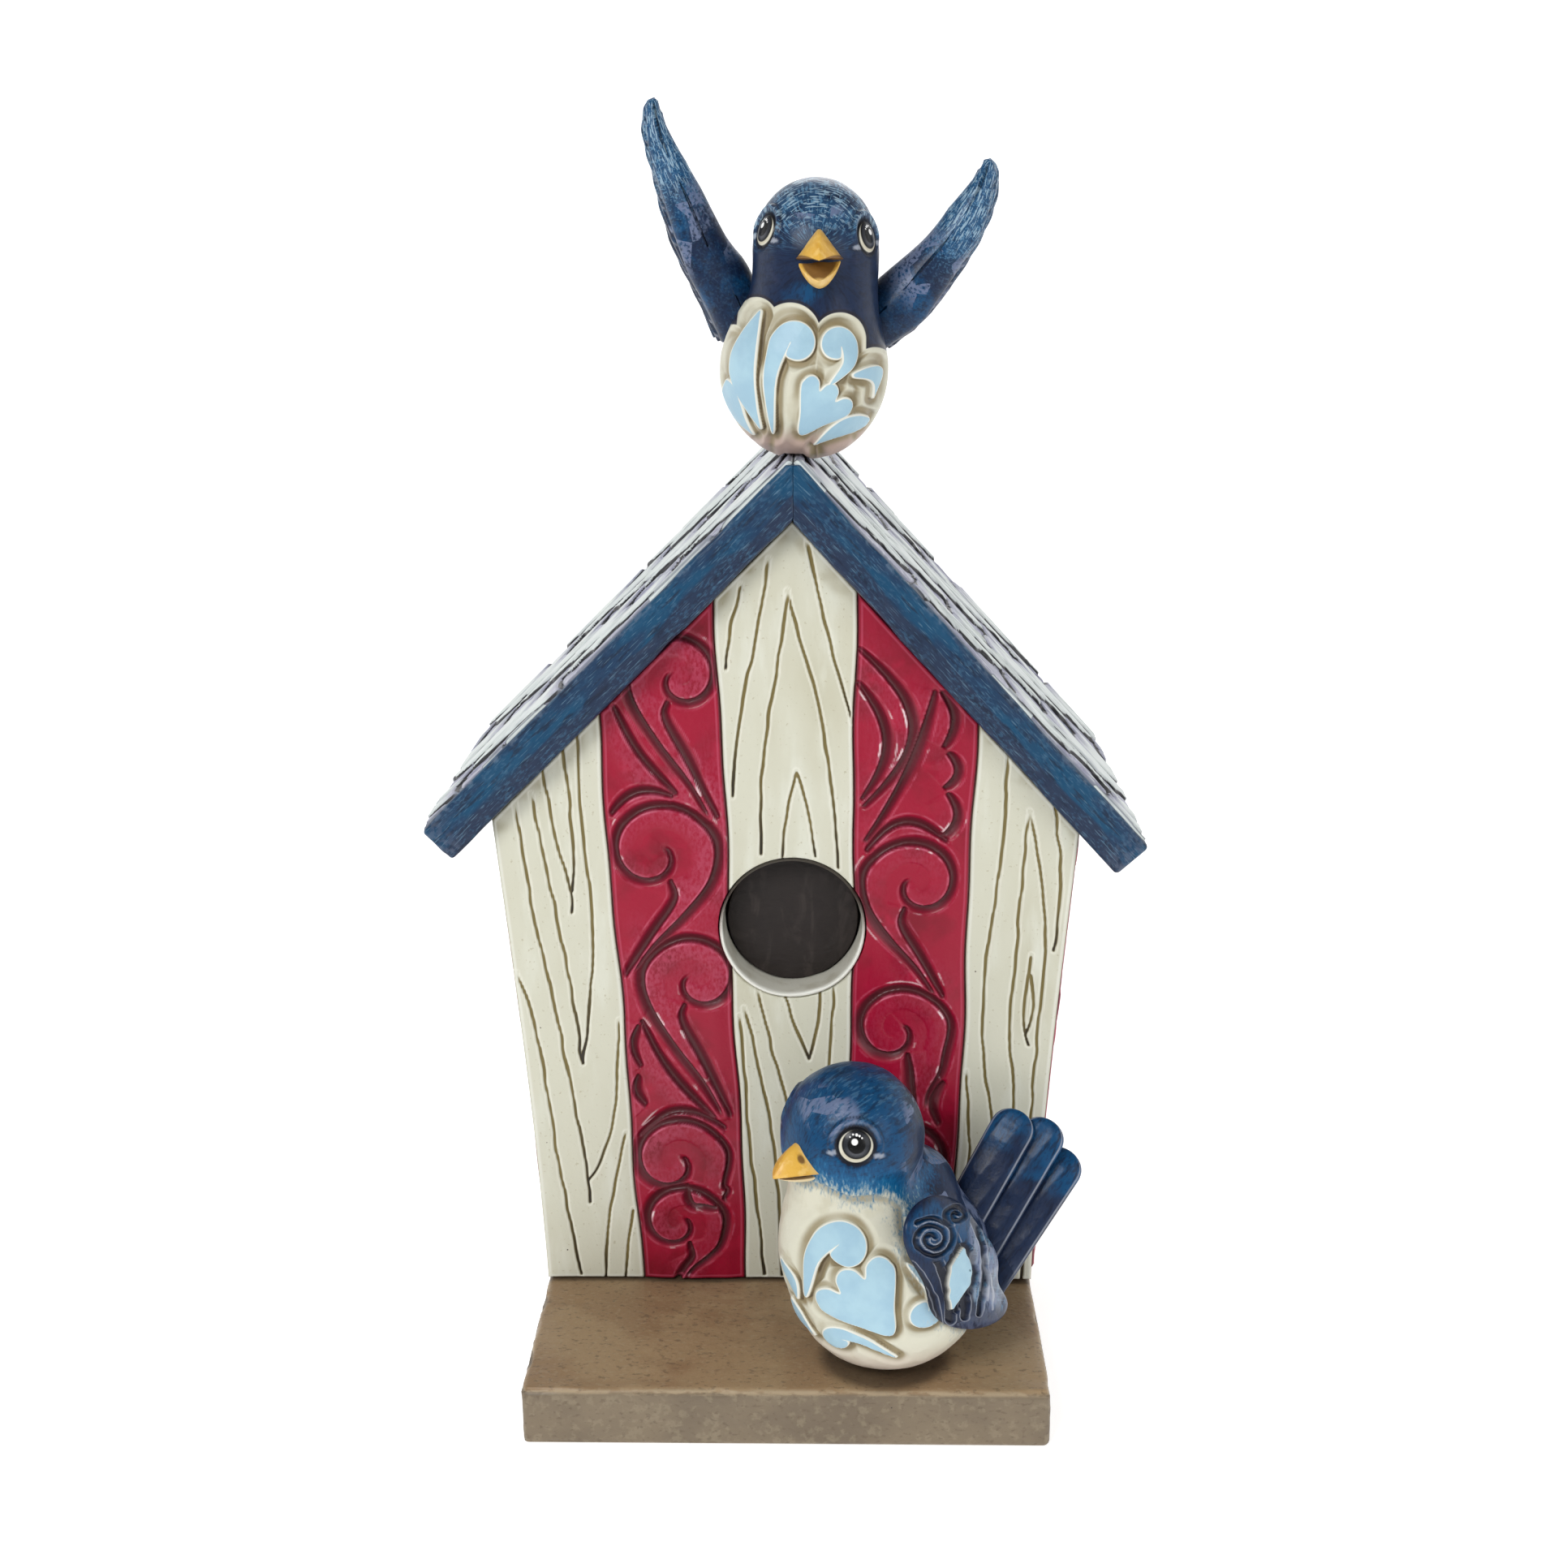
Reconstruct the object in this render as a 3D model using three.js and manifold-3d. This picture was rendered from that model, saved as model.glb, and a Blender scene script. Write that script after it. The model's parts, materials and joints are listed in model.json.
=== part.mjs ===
// Folk-art birdhouse figurine with two birds, in millimetres, +Z up.
// The origin is the centre of the plinth's underside, +X is to the right of the front and +Y is to the back.
// A hollow shell stands on the plinth and is faced with striped boards. The gabled roof rests on the walls,
// one bird sits on the ridge with raised wings, and the other sits on the ledge in front of the wall.
import * as THREE from 'three';
import { mergeVertices } from 'three/addons/utils/BufferGeometryUtils.js';
import Module from 'manifold-3d';

const wasm = await Module();
wasm.setup();

// ---------- driving dimensions ----------
const GAP = 0.3; // clearance between pieces that touch
const PLINTH = { width: 100, depth: 111, height: 12, corner: 1.6, bevel: 0.8 };
const HOUSE = { front: -15, back: 55.5, footHalf: 50, flare: 6.8, flareRise: 97, flarePower: 1.35, foot: 12 };
const BOARD = 5; // thickness of a facing board
const SHELL = 3.5; // wall of the hollow shell behind the boards
const SIDE_PROUD = 0.6; // how far the side boards stand out past the ends of the front boards
const ROOF = { front: -20.5, back: 61.5, thickness: 8.2, ridgeZ: 180.4, rim: 1.2, rebate: 1.0, proud: 0.8 };
const RIDGE = { left: 0.6, right: 3.2 }; // the ridge is flattened between these two lines
const PITCH = { left: THREE.MathUtils.degToRad(44.6), right: THREE.MathUtils.degToRad(47.7) };
const EAVE = { left: -70.1, right: 69.5 }; // outer top corners
const ENTRANCE = { x: 1.15, z: 89.3, bore: 13.3, sleeve: 14.3, proud: 1.0, backing: 17, backingThickness: 2 };
const PIN = { radius: 1.2, bore: 1.5 };
const ROUND_SIDES = 40; // sides of the entrance's circles
const MARGIN = 5; // how far a cutting solid runs past what it cuts
const BEYOND = 80; // half width and height of cutting solids that clear the whole house

// The joints between the five front boards: across the front at the foot and at the height of the ridge.
const FRONT_JOINTS = [
  { foot: -30.0, top: -38.0 },
  { foot: -8.6, top: -13.8 },
  { foot: 12.2, top: 13.9 },
  { foot: 33.5, top: 38.0 },
];
const BACK_JOINTS = [-31.5, -10.5, 10.5, 31.5];
const SIDE_BOARDS = 3;

const ROOF_BIRD = {
  lumps: [
    { at: [3.9, -5.0, 196.3], radii: [15.7, 15.5, 16.6] }, // belly
    { at: [5.9, -6.0, 208.0], radii: [11.2, 11.8, 10.0] }, // neck
    { at: [6.1, -6.5, 217.4], radii: [11.8, 12.8, 12.7] }, // head
    { at: [3.9, 7.0, 194.5], radii: [11.5, 14.0, 11.5] }, // rump
  ],
  heart: [4.8, -5.5, 204],
  blend: 4,
};
const BASE_BIRD = {
  lumps: [
    { at: [19.2, -43.5, 30.6], radii: [19.0, 16.3, 18.9] }, // belly
    { at: [14.5, -43.5, 37.0], radii: [15.6, 14.5, 13.0] }, // breast
    { at: [13.2, -43.5, 44.5], radii: [13.0, 12.8, 11.5] }, // neck
    { at: [12.7, -43.0, 58.4], radii: [13.5, 12.8, 14.0] }, // head
    { at: [24.0, -38.0, 44.0], radii: [9.0, 8.5, 9.8] }, // shoulders
    { at: [27.0, -36.5, 32.0], radii: [12.0, 10.5, 12.0] }, // rump
  ],
  heart: [14.5, -43, 41.5],
  blend: 4,
};

// ---------- materials ----------
const paint = (color, roughness = 0.45) => new THREE.MeshStandardMaterial({ color, roughness, metalness: 0 });
const PAINT = {
  cream: paint(0xd6d4c4),
  crimson: paint(0xa50f32),
  navy: paint(0x26466b),
  white: paint(0xebefec),
  taupe: paint(0x786450, 0.55),
  hollow: paint(0x37302d, 0.7),
  beak: paint(0xe1aa32),
  raw: paint(0xc9c3b6, 0.8),
};
const STEEL = new THREE.MeshStandardMaterial({ color: 0x9a9da0, roughness: 0.4, metalness: 0.9 });

// ---------- solids ----------
function toSolid(geometry) {
  const bare = geometry.clone();
  bare.deleteAttribute('normal');
  bare.deleteAttribute('uv');
  const merged = mergeVertices(bare, 1e-4);
  return new wasm.Manifold(
    new wasm.Mesh({
      numProp: 3,
      vertProperties: new Float32Array(merged.attributes.position.array),
      triVerts: new Uint32Array(merged.index.array),
    }),
  );
}

function toGeometry(solid) {
  const mesh = solid.getMesh();
  const geometry = new THREE.BufferGeometry();
  geometry.setAttribute('position', new THREE.BufferAttribute(new Float32Array(mesh.vertProperties), 3));
  geometry.setIndex(new THREE.BufferAttribute(new Uint32Array(mesh.triVerts), 1));
  geometry.computeVertexNormals();
  return geometry;
}

function cut(geometry, ...tools) {
  return toGeometry(tools.reduce((solid, tool) => solid.subtract(toSolid(tool)), toSolid(geometry)));
}

function join(first, ...others) {
  return toGeometry(others.reduce((solid, other) => solid.add(toSolid(other)), toSolid(first)));
}

// A prism with its outline in the XZ plane, from yFront to yBack.
function prism(outline, yFront, yBack) {
  const shape = new THREE.Shape(outline.map(([x, z]) => new THREE.Vector2(x, z)));
  return new THREE.ExtrudeGeometry(shape, { depth: yBack - yFront, bevelEnabled: false })
    .rotateX(Math.PI / 2)
    .translate(0, yBack, 0);
}

// A cylinder between two points.
function rod(from, to, radius, sides = 16) {
  const start = new THREE.Vector3(...from);
  const axis = new THREE.Vector3(...to).sub(start);
  const up = new THREE.Vector3(0, 1, 0);
  const turn = new THREE.Quaternion().setFromUnitVectors(up, axis.clone().normalize());
  const middle = start.clone().addScaledVector(axis, 0.5);
  return new THREE.CylinderGeometry(radius, radius, axis.length(), sides)
    .applyQuaternion(turn)
    .translate(middle.x, middle.y, middle.z);
}

// An ellipsoid with its long axis along `along` and its thin axis near `facing`.
function pebble(at, along, facing, [half, halfWidth, halfThick], detail = 14) {
  const x = new THREE.Vector3(...along).normalize();
  const y = new THREE.Vector3(...facing).cross(x).normalize();
  const z = x.clone().cross(y);
  return new THREE.SphereGeometry(1, detail, Math.round(detail * 0.7))
    .rotateX(Math.PI / 2)
    .scale(half, halfWidth, halfThick)
    .applyMatrix4(new THREE.Matrix4().makeBasis(x, y, z))
    .translate(...at);
}

// A closed skin over a row of loops that all have the same number of points.
function loft(loops) {
  const around = loops[0].length;
  const points = loops.flat();
  const faces = [];
  for (let row = 0; row + 1 < loops.length; row += 1) {
    for (let i = 0; i < around; i += 1) {
      const a = row * around + i;
      const b = row * around + ((i + 1) % around);
      faces.push(a, b, b + around, a, b + around, a + around);
    }
  }
  const last = (loops.length - 1) * around;
  for (let i = 1; i + 1 < around; i += 1) {
    faces.push(0, i + 1, i, last, last + i, last + i + 1);
  }
  const geometry = new THREE.BufferGeometry().setFromPoints(points);
  geometry.setIndex(faces);
  return geometry;
}

// ---------- rounded bodies of the birds ----------
function ellipsoidDistance([x, y, z], { at, radii }) {
  const p = [(x - at[0]) / radii[0], (y - at[1]) / radii[1], (z - at[2]) / radii[2]];
  const scaled = Math.hypot(...p);
  const gradient = Math.hypot(p[0] / radii[0], p[1] / radii[1], p[2] / radii[2]);
  return scaled < 1e-6 ? -Math.min(...radii) : (scaled * (scaled - 1)) / gradient;
}

function smoothMin(a, b, blend) {
  const h = Math.max(blend - Math.abs(a - b), 0) / blend;
  return Math.min(a, b) - (h * h * blend) / 4;
}

function bodyDistance(point, { lumps, blend }) {
  return lumps.map((lump) => ellipsoidDistance(point, lump)).reduce((a, b) => smoothMin(a, b, blend));
}

// A sphere pushed out from the bird's heart until it meets the skin, which `grow` lifts.
function birdBody(bird, grow = 0, detail = 7) {
  const centre = new THREE.Vector3(...bird.heart);
  const geometry = new THREE.IcosahedronGeometry(1, detail);
  const position = geometry.attributes.position;
  const ray = new THREE.Vector3();
  for (let i = 0; i < position.count; i += 1) {
    ray.fromBufferAttribute(position, i).normalize();
    let inside = 0;
    let outside = 60;
    for (let step = 0; step < 30; step += 1) {
      const reach = (inside + outside) / 2;
      const probe = centre.clone().addScaledVector(ray, reach).toArray();
      if (bodyDistance(probe, bird) < grow) {
        inside = reach;
      } else {
        outside = reach;
      }
    }
    const skin = centre.clone().addScaledVector(ray, inside);
    position.setXYZ(i, skin.x, skin.y, skin.z);
  }
  return geometry;
}

// ---------- outlines of the house ----------
function wallHalfWidth(z) {
  const rise = Math.max(z - HOUSE.foot, 0) / HOUSE.flareRise;
  return HOUSE.footHalf + HOUSE.flare * rise ** HOUSE.flarePower;
}

// Height of the roof's outer planes above x, lowered by `depth` measured square to each slope.
function roofHeight(x, depth) {
  const left = ROOF.ridgeZ + (x - RIDGE.left) * Math.tan(PITCH.left) - depth / Math.cos(PITCH.left);
  const right = ROOF.ridgeZ - (x - RIDGE.right) * Math.tan(PITCH.right) - depth / Math.cos(PITCH.right);
  return Math.min(left, right);
}

// Where the two slopes meet at that depth.
function ridgeX(depth) {
  const fromLeft = RIDGE.left * Math.tan(PITCH.left) + depth / Math.cos(PITCH.left);
  const fromRight = RIDGE.right * Math.tan(PITCH.right) - depth / Math.cos(PITCH.right);
  return (fromLeft + fromRight) / (Math.tan(PITCH.left) + Math.tan(PITCH.right));
}

// A board between two edges that are functions of height, cut off under the roof.
function boardOutline(leftEdge, rightEdge, depth) {
  const rows = 6;
  const topOf = (edge) => {
    let z = roofHeight(edge(HOUSE.foot), depth);
    for (let pass = 0; pass < 20; pass += 1) {
      z = roofHeight(edge(z), depth);
    }
    return z;
  };
  const side = (edge) => {
    const foot = HOUSE.foot + GAP;
    const top = topOf(edge);
    return Array.from({ length: rows + 1 }, (_, i) => {
      const z = foot + ((top - foot) * i) / rows;
      return [edge(z), z];
    });
  };
  const left = side(leftEdge);
  const right = side(rightEdge);
  const peak = ridgeX(depth);
  const crossesRidge = left[rows][0] < peak - 1 && right[rows][0] > peak + 1;
  const apex = crossesRidge ? [[peak, roofHeight(peak, depth)]] : [];
  return [...right, ...apex, ...left.reverse()];
}

function jointLine({ foot, top }, offset) {
  return (z) => foot + ((top - foot) * (z - HOUSE.foot)) / (ROOF.ridgeZ - HOUSE.foot) + offset;
}

const leftWall = (inset) => (z) => -wallHalfWidth(z) + inset;
const rightWall = (inset) => (z) => wallHalfWidth(z) - inset;

// ---------- the assembly ----------
const birdhouse = new THREE.Group();

function add(name, geometry, material) {
  const mesh = new THREE.Mesh(geometry, material);
  mesh.name = name;
  birdhouse.add(mesh);
}

const pinBore = (from, to) => rod(from, to, PIN.bore, 12);

// Plinth: a slab with softened corners and edges.
function plinth() {
  const { width, depth, height, corner, bevel } = PLINTH;
  const x = width / 2 - bevel;
  const y = depth / 2 - bevel;
  const shape = new THREE.Shape();
  shape.moveTo(-x + corner, -y);
  shape.lineTo(x - corner, -y);
  shape.absarc(x - corner, -y + corner, corner, -Math.PI / 2, 0);
  shape.absarc(x - corner, y - corner, corner, 0, Math.PI / 2);
  shape.absarc(-x + corner, y - corner, corner, Math.PI / 2, Math.PI);
  shape.absarc(-x + corner, -y + corner, corner, Math.PI, 1.5 * Math.PI);
  return new THREE.ExtrudeGeometry(shape, {
    depth: height - 2 * bevel,
    bevelEnabled: true,
    bevelSize: bevel,
    bevelThickness: bevel,
    bevelSegments: 1,
    curveSegments: 3,
  }).translate(0, 0, bevel);
}

const PIN_LINES = {
  baseBird: { from: [17, -43, 5], to: [17, -43, 22] },
  roofBird: { from: [ridgeX(0), -4, 171.5], to: [ridgeX(0), -4, 189] },
  wingLeft: { from: [-3.5, -2, 204.5], to: [-12.5, 0.5, 213] },
  wingRight: { from: [11, -2, 203.5], to: [21, 0.5, 207.5] },
  roofTail: { from: [3.9, 12, 195], to: [3.9, 25, 199] },
  baseTail: { from: [30, -35.8, 31], to: [40, -31.5, 40] },
};

function longer({ from, to }, extra = GAP) {
  const start = new THREE.Vector3(...from);
  const end = new THREE.Vector3(...to);
  const step = end.clone().sub(start).normalize().multiplyScalar(extra);
  return { from: start.sub(step).toArray(), to: end.add(step).toArray() };
}

const BORES = Object.fromEntries(
  Object.entries(PIN_LINES).map(([name, line]) => {
    const { from, to } = longer(line);
    return [name, pinBore(from, to)];
  }),
);

add('base_plinth', cut(plinth(), BORES.baseBird), PAINT.taupe);

// Hollow shell, open below, which carries the boards.
const boardBack = BOARD + GAP;
const shellFront = HOUSE.front + boardBack;
const shellBack = HOUSE.back - boardBack;
const underRoof = ROOF.thickness + GAP;
const entranceAxis = (radius) =>
  rod(
    [ENTRANCE.x, HOUSE.front - MARGIN, ENTRANCE.z],
    [ENTRANCE.x, shellFront + SHELL + ENTRANCE.backingThickness, ENTRANCE.z],
    radius,
    ROUND_SIDES,
  );
const entranceHole = entranceAxis(ENTRANCE.sleeve + GAP);

function houseShell() {
  const outer = boardOutline(leftWall(boardBack), rightWall(boardBack), underRoof);
  const inner = boardOutline(leftWall(boardBack + SHELL), rightWall(boardBack + SHELL), underRoof + SHELL);
  const openBelow = inner.map(([x, z]) => [x, z < HOUSE.foot + GAP * 2 ? HOUSE.foot - MARGIN : z]);
  return cut(
    prism(outer, shellFront, shellBack),
    prism(openBelow, shellFront + SHELL, shellBack - SHELL),
    entranceHole,
  );
}
add('house_shell', houseShell(), PAINT.raw);

// Front boards, cream and crimson in turn. The entrance is cut through the middle three, and it is wider
// than the centre board, which it parts into an upper and a lower piece.
const STRIPES = ['cream', 'crimson', 'cream', 'crimson', 'cream'];
const FRONT_NAMES = ['cream_left', 'crimson_left', 'cream_centre', 'crimson_right', 'cream_right'];
const CENTRE = 2;
const frontEdges = [leftWall(0), ...FRONT_JOINTS.map((joint) => jointLine(joint, 0)), rightWall(0)];
function halfSpace(bottom, top) {
  const outline = [[-BEYOND, bottom], [BEYOND, bottom], [BEYOND, top], [-BEYOND, top]];
  return prism(outline, HOUSE.front - MARGIN, HOUSE.front + BOARD + MARGIN);
}
const belowEntrance = halfSpace(0, ENTRANCE.z);
const aboveEntrance = halfSpace(ENTRANCE.z, ROOF.ridgeZ);
FRONT_NAMES.forEach((name, i) => {
  const left = (z) => frontEdges[i](z) + (i > 0 ? GAP / 2 : 0);
  const right = (z) => frontEdges[i + 1](z) - (i < STRIPES.length - 1 ? GAP / 2 : 0);
  const board = prism(boardOutline(left, right, underRoof), HOUSE.front, HOUSE.front + BOARD);
  const colour = PAINT[STRIPES[i]];
  if (i === CENTRE) {
    add('front_board_cream_upper', cut(board, entranceHole, belowEntrance), colour);
    add('front_board_cream_lower', cut(board, entranceHole, aboveEntrance), colour);
  } else if (i === CENTRE - 1 || i === CENTRE + 1) {
    add(`front_board_${name}`, cut(board, entranceHole), colour);
  } else {
    add(`front_board_${name}`, board, colour);
  }
});

// Back boards.
const backEdges = [leftWall(0), ...BACK_JOINTS.map((x) => () => x), rightWall(0)];
STRIPES.forEach((colour, i) => {
  const left = (z) => backEdges[i](z) + (i > 0 ? GAP / 2 : 0);
  const right = (z) => backEdges[i + 1](z) - (i < STRIPES.length - 1 ? GAP / 2 : 0);
  const board = prism(boardOutline(left, right, underRoof), HOUSE.back - BOARD, HOUSE.back);
  add(`back_board_${i + 1}`, board, PAINT[colour]);
});

// Side boards, between the front and back boards and just proud of their ends.
const sideFront = HOUSE.front + BOARD + GAP;
const sideBack = HOUSE.back - BOARD - GAP;
const sidePitch = (sideBack - sideFront + GAP) / SIDE_BOARDS;
const SIDES = {
  left: boardOutline(leftWall(-SIDE_PROUD), leftWall(BOARD), underRoof),
  right: boardOutline(rightWall(BOARD), rightWall(-SIDE_PROUD), underRoof),
};
for (const [side, outline] of Object.entries(SIDES)) {
  for (let i = 0; i < SIDE_BOARDS; i += 1) {
    const from = sideFront + i * sidePitch;
    const board = prism(outline, from, from + sidePitch - GAP);
    add(`${side}_board_${i + 1}`, board, i === 1 ? PAINT.cream : PAINT.crimson);
  }
}

// Entrance: a sleeve that lines the hole and a dark disc that closes it behind the shell.
const sleeveFront = HOUSE.front - ENTRANCE.proud;
const sleeveBack = shellFront + SHELL;
add(
  'entrance_sleeve',
  cut(
    rod(
      [ENTRANCE.x, sleeveFront, ENTRANCE.z],
      [ENTRANCE.x, sleeveBack, ENTRANCE.z],
      ENTRANCE.sleeve,
      ROUND_SIDES,
    ),
    entranceAxis(ENTRANCE.bore),
  ),
  PAINT.cream,
);
add(
  'entrance_backing',
  rod(
    [ENTRANCE.x, sleeveBack + GAP, ENTRANCE.z],
    [ENTRANCE.x, sleeveBack + GAP + ENTRANCE.backingThickness, ENTRANCE.z],
    ENTRANCE.backing,
    ROUND_SIDES,
  ),
  PAINT.hollow,
);

// Roof: two slabs that meet in a mitre, each with a rebate in its top that holds a carved sheet.
// Outline of a layer between two depths on one slope. sign is -1 for the left slope and 1 for the right.
function slopeLayer(sign, top, bottom, eaveInset, mitreGap) {
  const pitch = sign < 0 ? PITCH.left : PITCH.right;
  const eave = sign < 0 ? EAVE.left : EAVE.right;
  const down = [sign * Math.cos(pitch), -Math.sin(pitch)];
  const into = [-sign * Math.sin(pitch), -Math.cos(pitch)];
  const corner = [eave, roofHeight(eave, 0)];
  const atEave = (depth) => [
    corner[0] - down[0] * eaveInset + into[0] * depth,
    corner[1] - down[1] * eaveInset + into[1] * depth,
  ];
  const mitre = ridgeX(0) + (sign * mitreGap) / 2;
  const topOfMitre = Math.min(roofHeight(mitre, top), ROOF.ridgeZ - Math.min(top, 0));
  const flatX = sign < 0 ? RIDGE.left : RIDGE.right;
  const flat = roofHeight(mitre, top) > topOfMitre ? [[flatX, topOfMitre]] : [];
  return [atEave(bottom), atEave(top), ...flat, [mitre, topOfMitre], [mitre, roofHeight(mitre, bottom)]];
}

for (const [side, sign] of Object.entries({ left: -1, right: 1 })) {
  const slab = prism(slopeLayer(sign, 0, ROOF.thickness, 0, GAP), ROOF.front, ROOF.back);
  const rebate = prism(
    slopeLayer(sign, -MARGIN, ROOF.rebate, ROOF.rim, -MARGIN),
    ROOF.front + ROOF.rim,
    ROOF.back - ROOF.rim,
  );
  const sheet = prism(
    slopeLayer(sign, -ROOF.proud, ROOF.rebate - GAP, ROOF.rim + GAP, GAP),
    ROOF.front + ROOF.rim + GAP,
    ROOF.back - ROOF.rim - GAP,
  );
  add(`roof_slab_${side}`, cut(slab, rebate, BORES.roofBird), PAINT.navy);
  add(`roof_carving_${side}`, cut(sheet, BORES.roofBird), PAINT.white);
}

// The space the roof takes up, grown by the gap, which the ridge bird's belly is cut back from.
const roofSpace = prism(
  [
    [-BEYOND, roofHeight(-BEYOND, -ROOF.proud - GAP)],
    [RIDGE.left, ROOF.ridgeZ + ROOF.proud + GAP],
    [RIDGE.right, ROOF.ridgeZ + ROOF.proud + GAP],
    [BEYOND, roofHeight(BEYOND, -ROOF.proud - GAP)],
    [BEYOND, 0],
    [-BEYOND, 0],
  ].reverse(),
  ROOF.front,
  ROOF.back,
);

// A wing blade: a thick rounded leading edge that thins out towards the trailing feathers.
// Each station gives the leading edge's centre and radius and the chord behind it.
function wingBlade(stations, trailing, normal) {
  const outlineOf = ({ at, radius, chord }) => {
    const centre = new THREE.Vector3(...at);
    const back = new THREE.Vector3(...trailing).normalize();
    const side = new THREE.Vector3(...normal).normalize();
    const point = (along, across) =>
      centre.clone().addScaledVector(back, along).addScaledVector(side, across);
    const nose = Array.from({ length: 7 }, (_, i) => {
      const angle = Math.PI / 2 + (Math.PI * i) / 6;
      return point(radius * 0.8 * Math.cos(angle), radius * Math.sin(angle));
    });
    const tail = [
      point(chord * 0.5, -radius * 0.6),
      point(chord, -0.8),
      point(chord, 0.8),
      point(chord * 0.5, radius * 0.6),
    ];
    return [...nose, ...tail];
  };
  return loft(stations.map(outlineOf));
}

function outwardFacing(geometry) {
  const solid = toSolid(geometry);
  if (solid.volume() > 0) {
    return geometry;
  }
  const index = geometry.index.array;
  for (let i = 0; i < index.length; i += 3) {
    [index[i], index[i + 1]] = [index[i + 1], index[i]];
  }
  return geometry;
}

const ROOF_WINGS = {
  left: {
    trailing: [-0.3, 0.95, 0],
    normal: [0.88, 0.28, 0.38],
    stations: [
      { at: [-7.2, 0.5, 203.0], radius: 5.4, chord: 22 },
      { at: [-10.8, 0.5, 211.5], radius: 5.5, chord: 22 },
      { at: [-14.6, 0.5, 218.2], radius: 5.0, chord: 20 },
      { at: [-18.0, 0.5, 226.2], radius: 4.3, chord: 16 },
      { at: [-20.7, 0.5, 232.6], radius: 3.1, chord: 11 },
      { at: [-23.2, 0.5, 239.4], radius: 2.4, chord: 6 },
      { at: [-23.8, 0.5, 244.6], radius: 1.2, chord: 2.5 },
    ],
  },
  right: {
    trailing: [0.3, 0.95, 0],
    normal: [0.7, -0.22, -0.68],
    stations: [
      { at: [15.5, 0.5, 203.0], radius: 5.4, chord: 22 },
      { at: [21.0, 0.5, 207.6], radius: 5.8, chord: 22 },
      { at: [26.6, 0.5, 213.6], radius: 5.2, chord: 19 },
      { at: [32.0, 0.5, 220.2], radius: 4.3, chord: 15 },
      { at: [36.2, 0.5, 227.2], radius: 3.2, chord: 10 },
      { at: [38.2, 0.5, 233.2], radius: 1.4, chord: 4 },
    ],
  },
};

// A strip with round ends between the middles of its two end arcs, bevelled all round.
function feather({ root, tip }, facing, [rootHalf, tipHalf], thickness) {
  const start = new THREE.Vector3(...root);
  const along = new THREE.Vector3(...tip).sub(start);
  const bevel = thickness * 0.3;
  const shape = new THREE.Shape();
  shape.absarc(0, 0, rootHalf - bevel, Math.PI / 2, 1.5 * Math.PI);
  shape.absarc(along.length(), 0, tipHalf - bevel, -Math.PI / 2, Math.PI / 2);
  const x = along.clone().normalize();
  const y = new THREE.Vector3(...facing).cross(x).normalize();
  const z = x.clone().cross(y);
  return new THREE.ExtrudeGeometry(shape, {
    depth: thickness - 2 * bevel,
    bevelEnabled: true,
    bevelSize: bevel,
    bevelThickness: bevel,
    bevelSegments: 2,
    curveSegments: 8,
  })
    .translate(0, 0, bevel - thickness / 2)
    .applyMatrix4(new THREE.Matrix4().makeBasis(x, y, z))
    .translate(...root);
}

// A fan of overlapping tail feathers.
function tailFan(feathers, facing, halfWidths, thickness) {
  return join(...feathers.map((ends) => feather(ends, facing, halfWidths, thickness)));
}

// A beak half: a short cone, wide at the face and flattened.
function beakHalf(at, towards, up, [length, halfWidth, halfHeight]) {
  const x = new THREE.Vector3(...towards).normalize();
  const y = new THREE.Vector3(...up).cross(x).normalize();
  const z = x.clone().cross(y);
  return new THREE.ConeGeometry(1, 1, 12)
    .rotateZ(-Math.PI / 2)
    .translate(0.5, 0, 0)
    .scale(length, halfWidth, halfHeight)
    .applyMatrix4(new THREE.Matrix4().makeBasis(x, y, z))
    .translate(...at);
}

// Ridge bird.
const roofBirdSkin = birdBody(ROOF_BIRD);
const roofBirdGrown = birdBody(ROOF_BIRD, GAP);
const roofWingGeometry = Object.fromEntries(
  Object.entries(ROOF_WINGS).map(([side, { trailing, normal, stations }]) => [
    side,
    outwardFacing(wingBlade(stations, trailing, normal)),
  ]),
);
const roofTail = tailFan(
  [
    { root: [0.5, 13, 193.5], tip: [-4.6, 37, 204.0] },
    { root: [3.9, 13, 193.5], tip: [3.9, 39, 205.0] },
    { root: [7.3, 13, 193.5], tip: [12.4, 37, 204.0] },
  ],
  [0, -0.4, 0.92],
  [3.8, 4.4],
  4.2,
);
add(
  'roof_bird_body',
  cut(roofBirdSkin, roofSpace, BORES.roofBird, BORES.wingLeft, BORES.wingRight, BORES.roofTail),
  PAINT.navy,
);
add('roof_bird_wing_left', cut(roofWingGeometry.left, roofBirdGrown, BORES.wingLeft), PAINT.navy);
add('roof_bird_wing_right', cut(roofWingGeometry.right, roofBirdGrown, BORES.wingRight), PAINT.navy);
add('roof_bird_tail', cut(roofTail, roofBirdGrown, BORES.roofTail), PAINT.navy);
add(
  'roof_bird_beak_upper',
  cut(beakHalf([6.6, -15, 218.4], [0, -1, -0.22], [0, 0, 1], [12, 5.2, 3.4]), roofBirdGrown),
  PAINT.beak,
);
add(
  'roof_bird_beak_lower',
  cut(beakHalf([6.6, -15, 212.2], [0, -1, 0.1], [0, 0, 1], [9.2, 4.6, 2.2]), roofBirdGrown),
  PAINT.beak,
);

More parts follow.
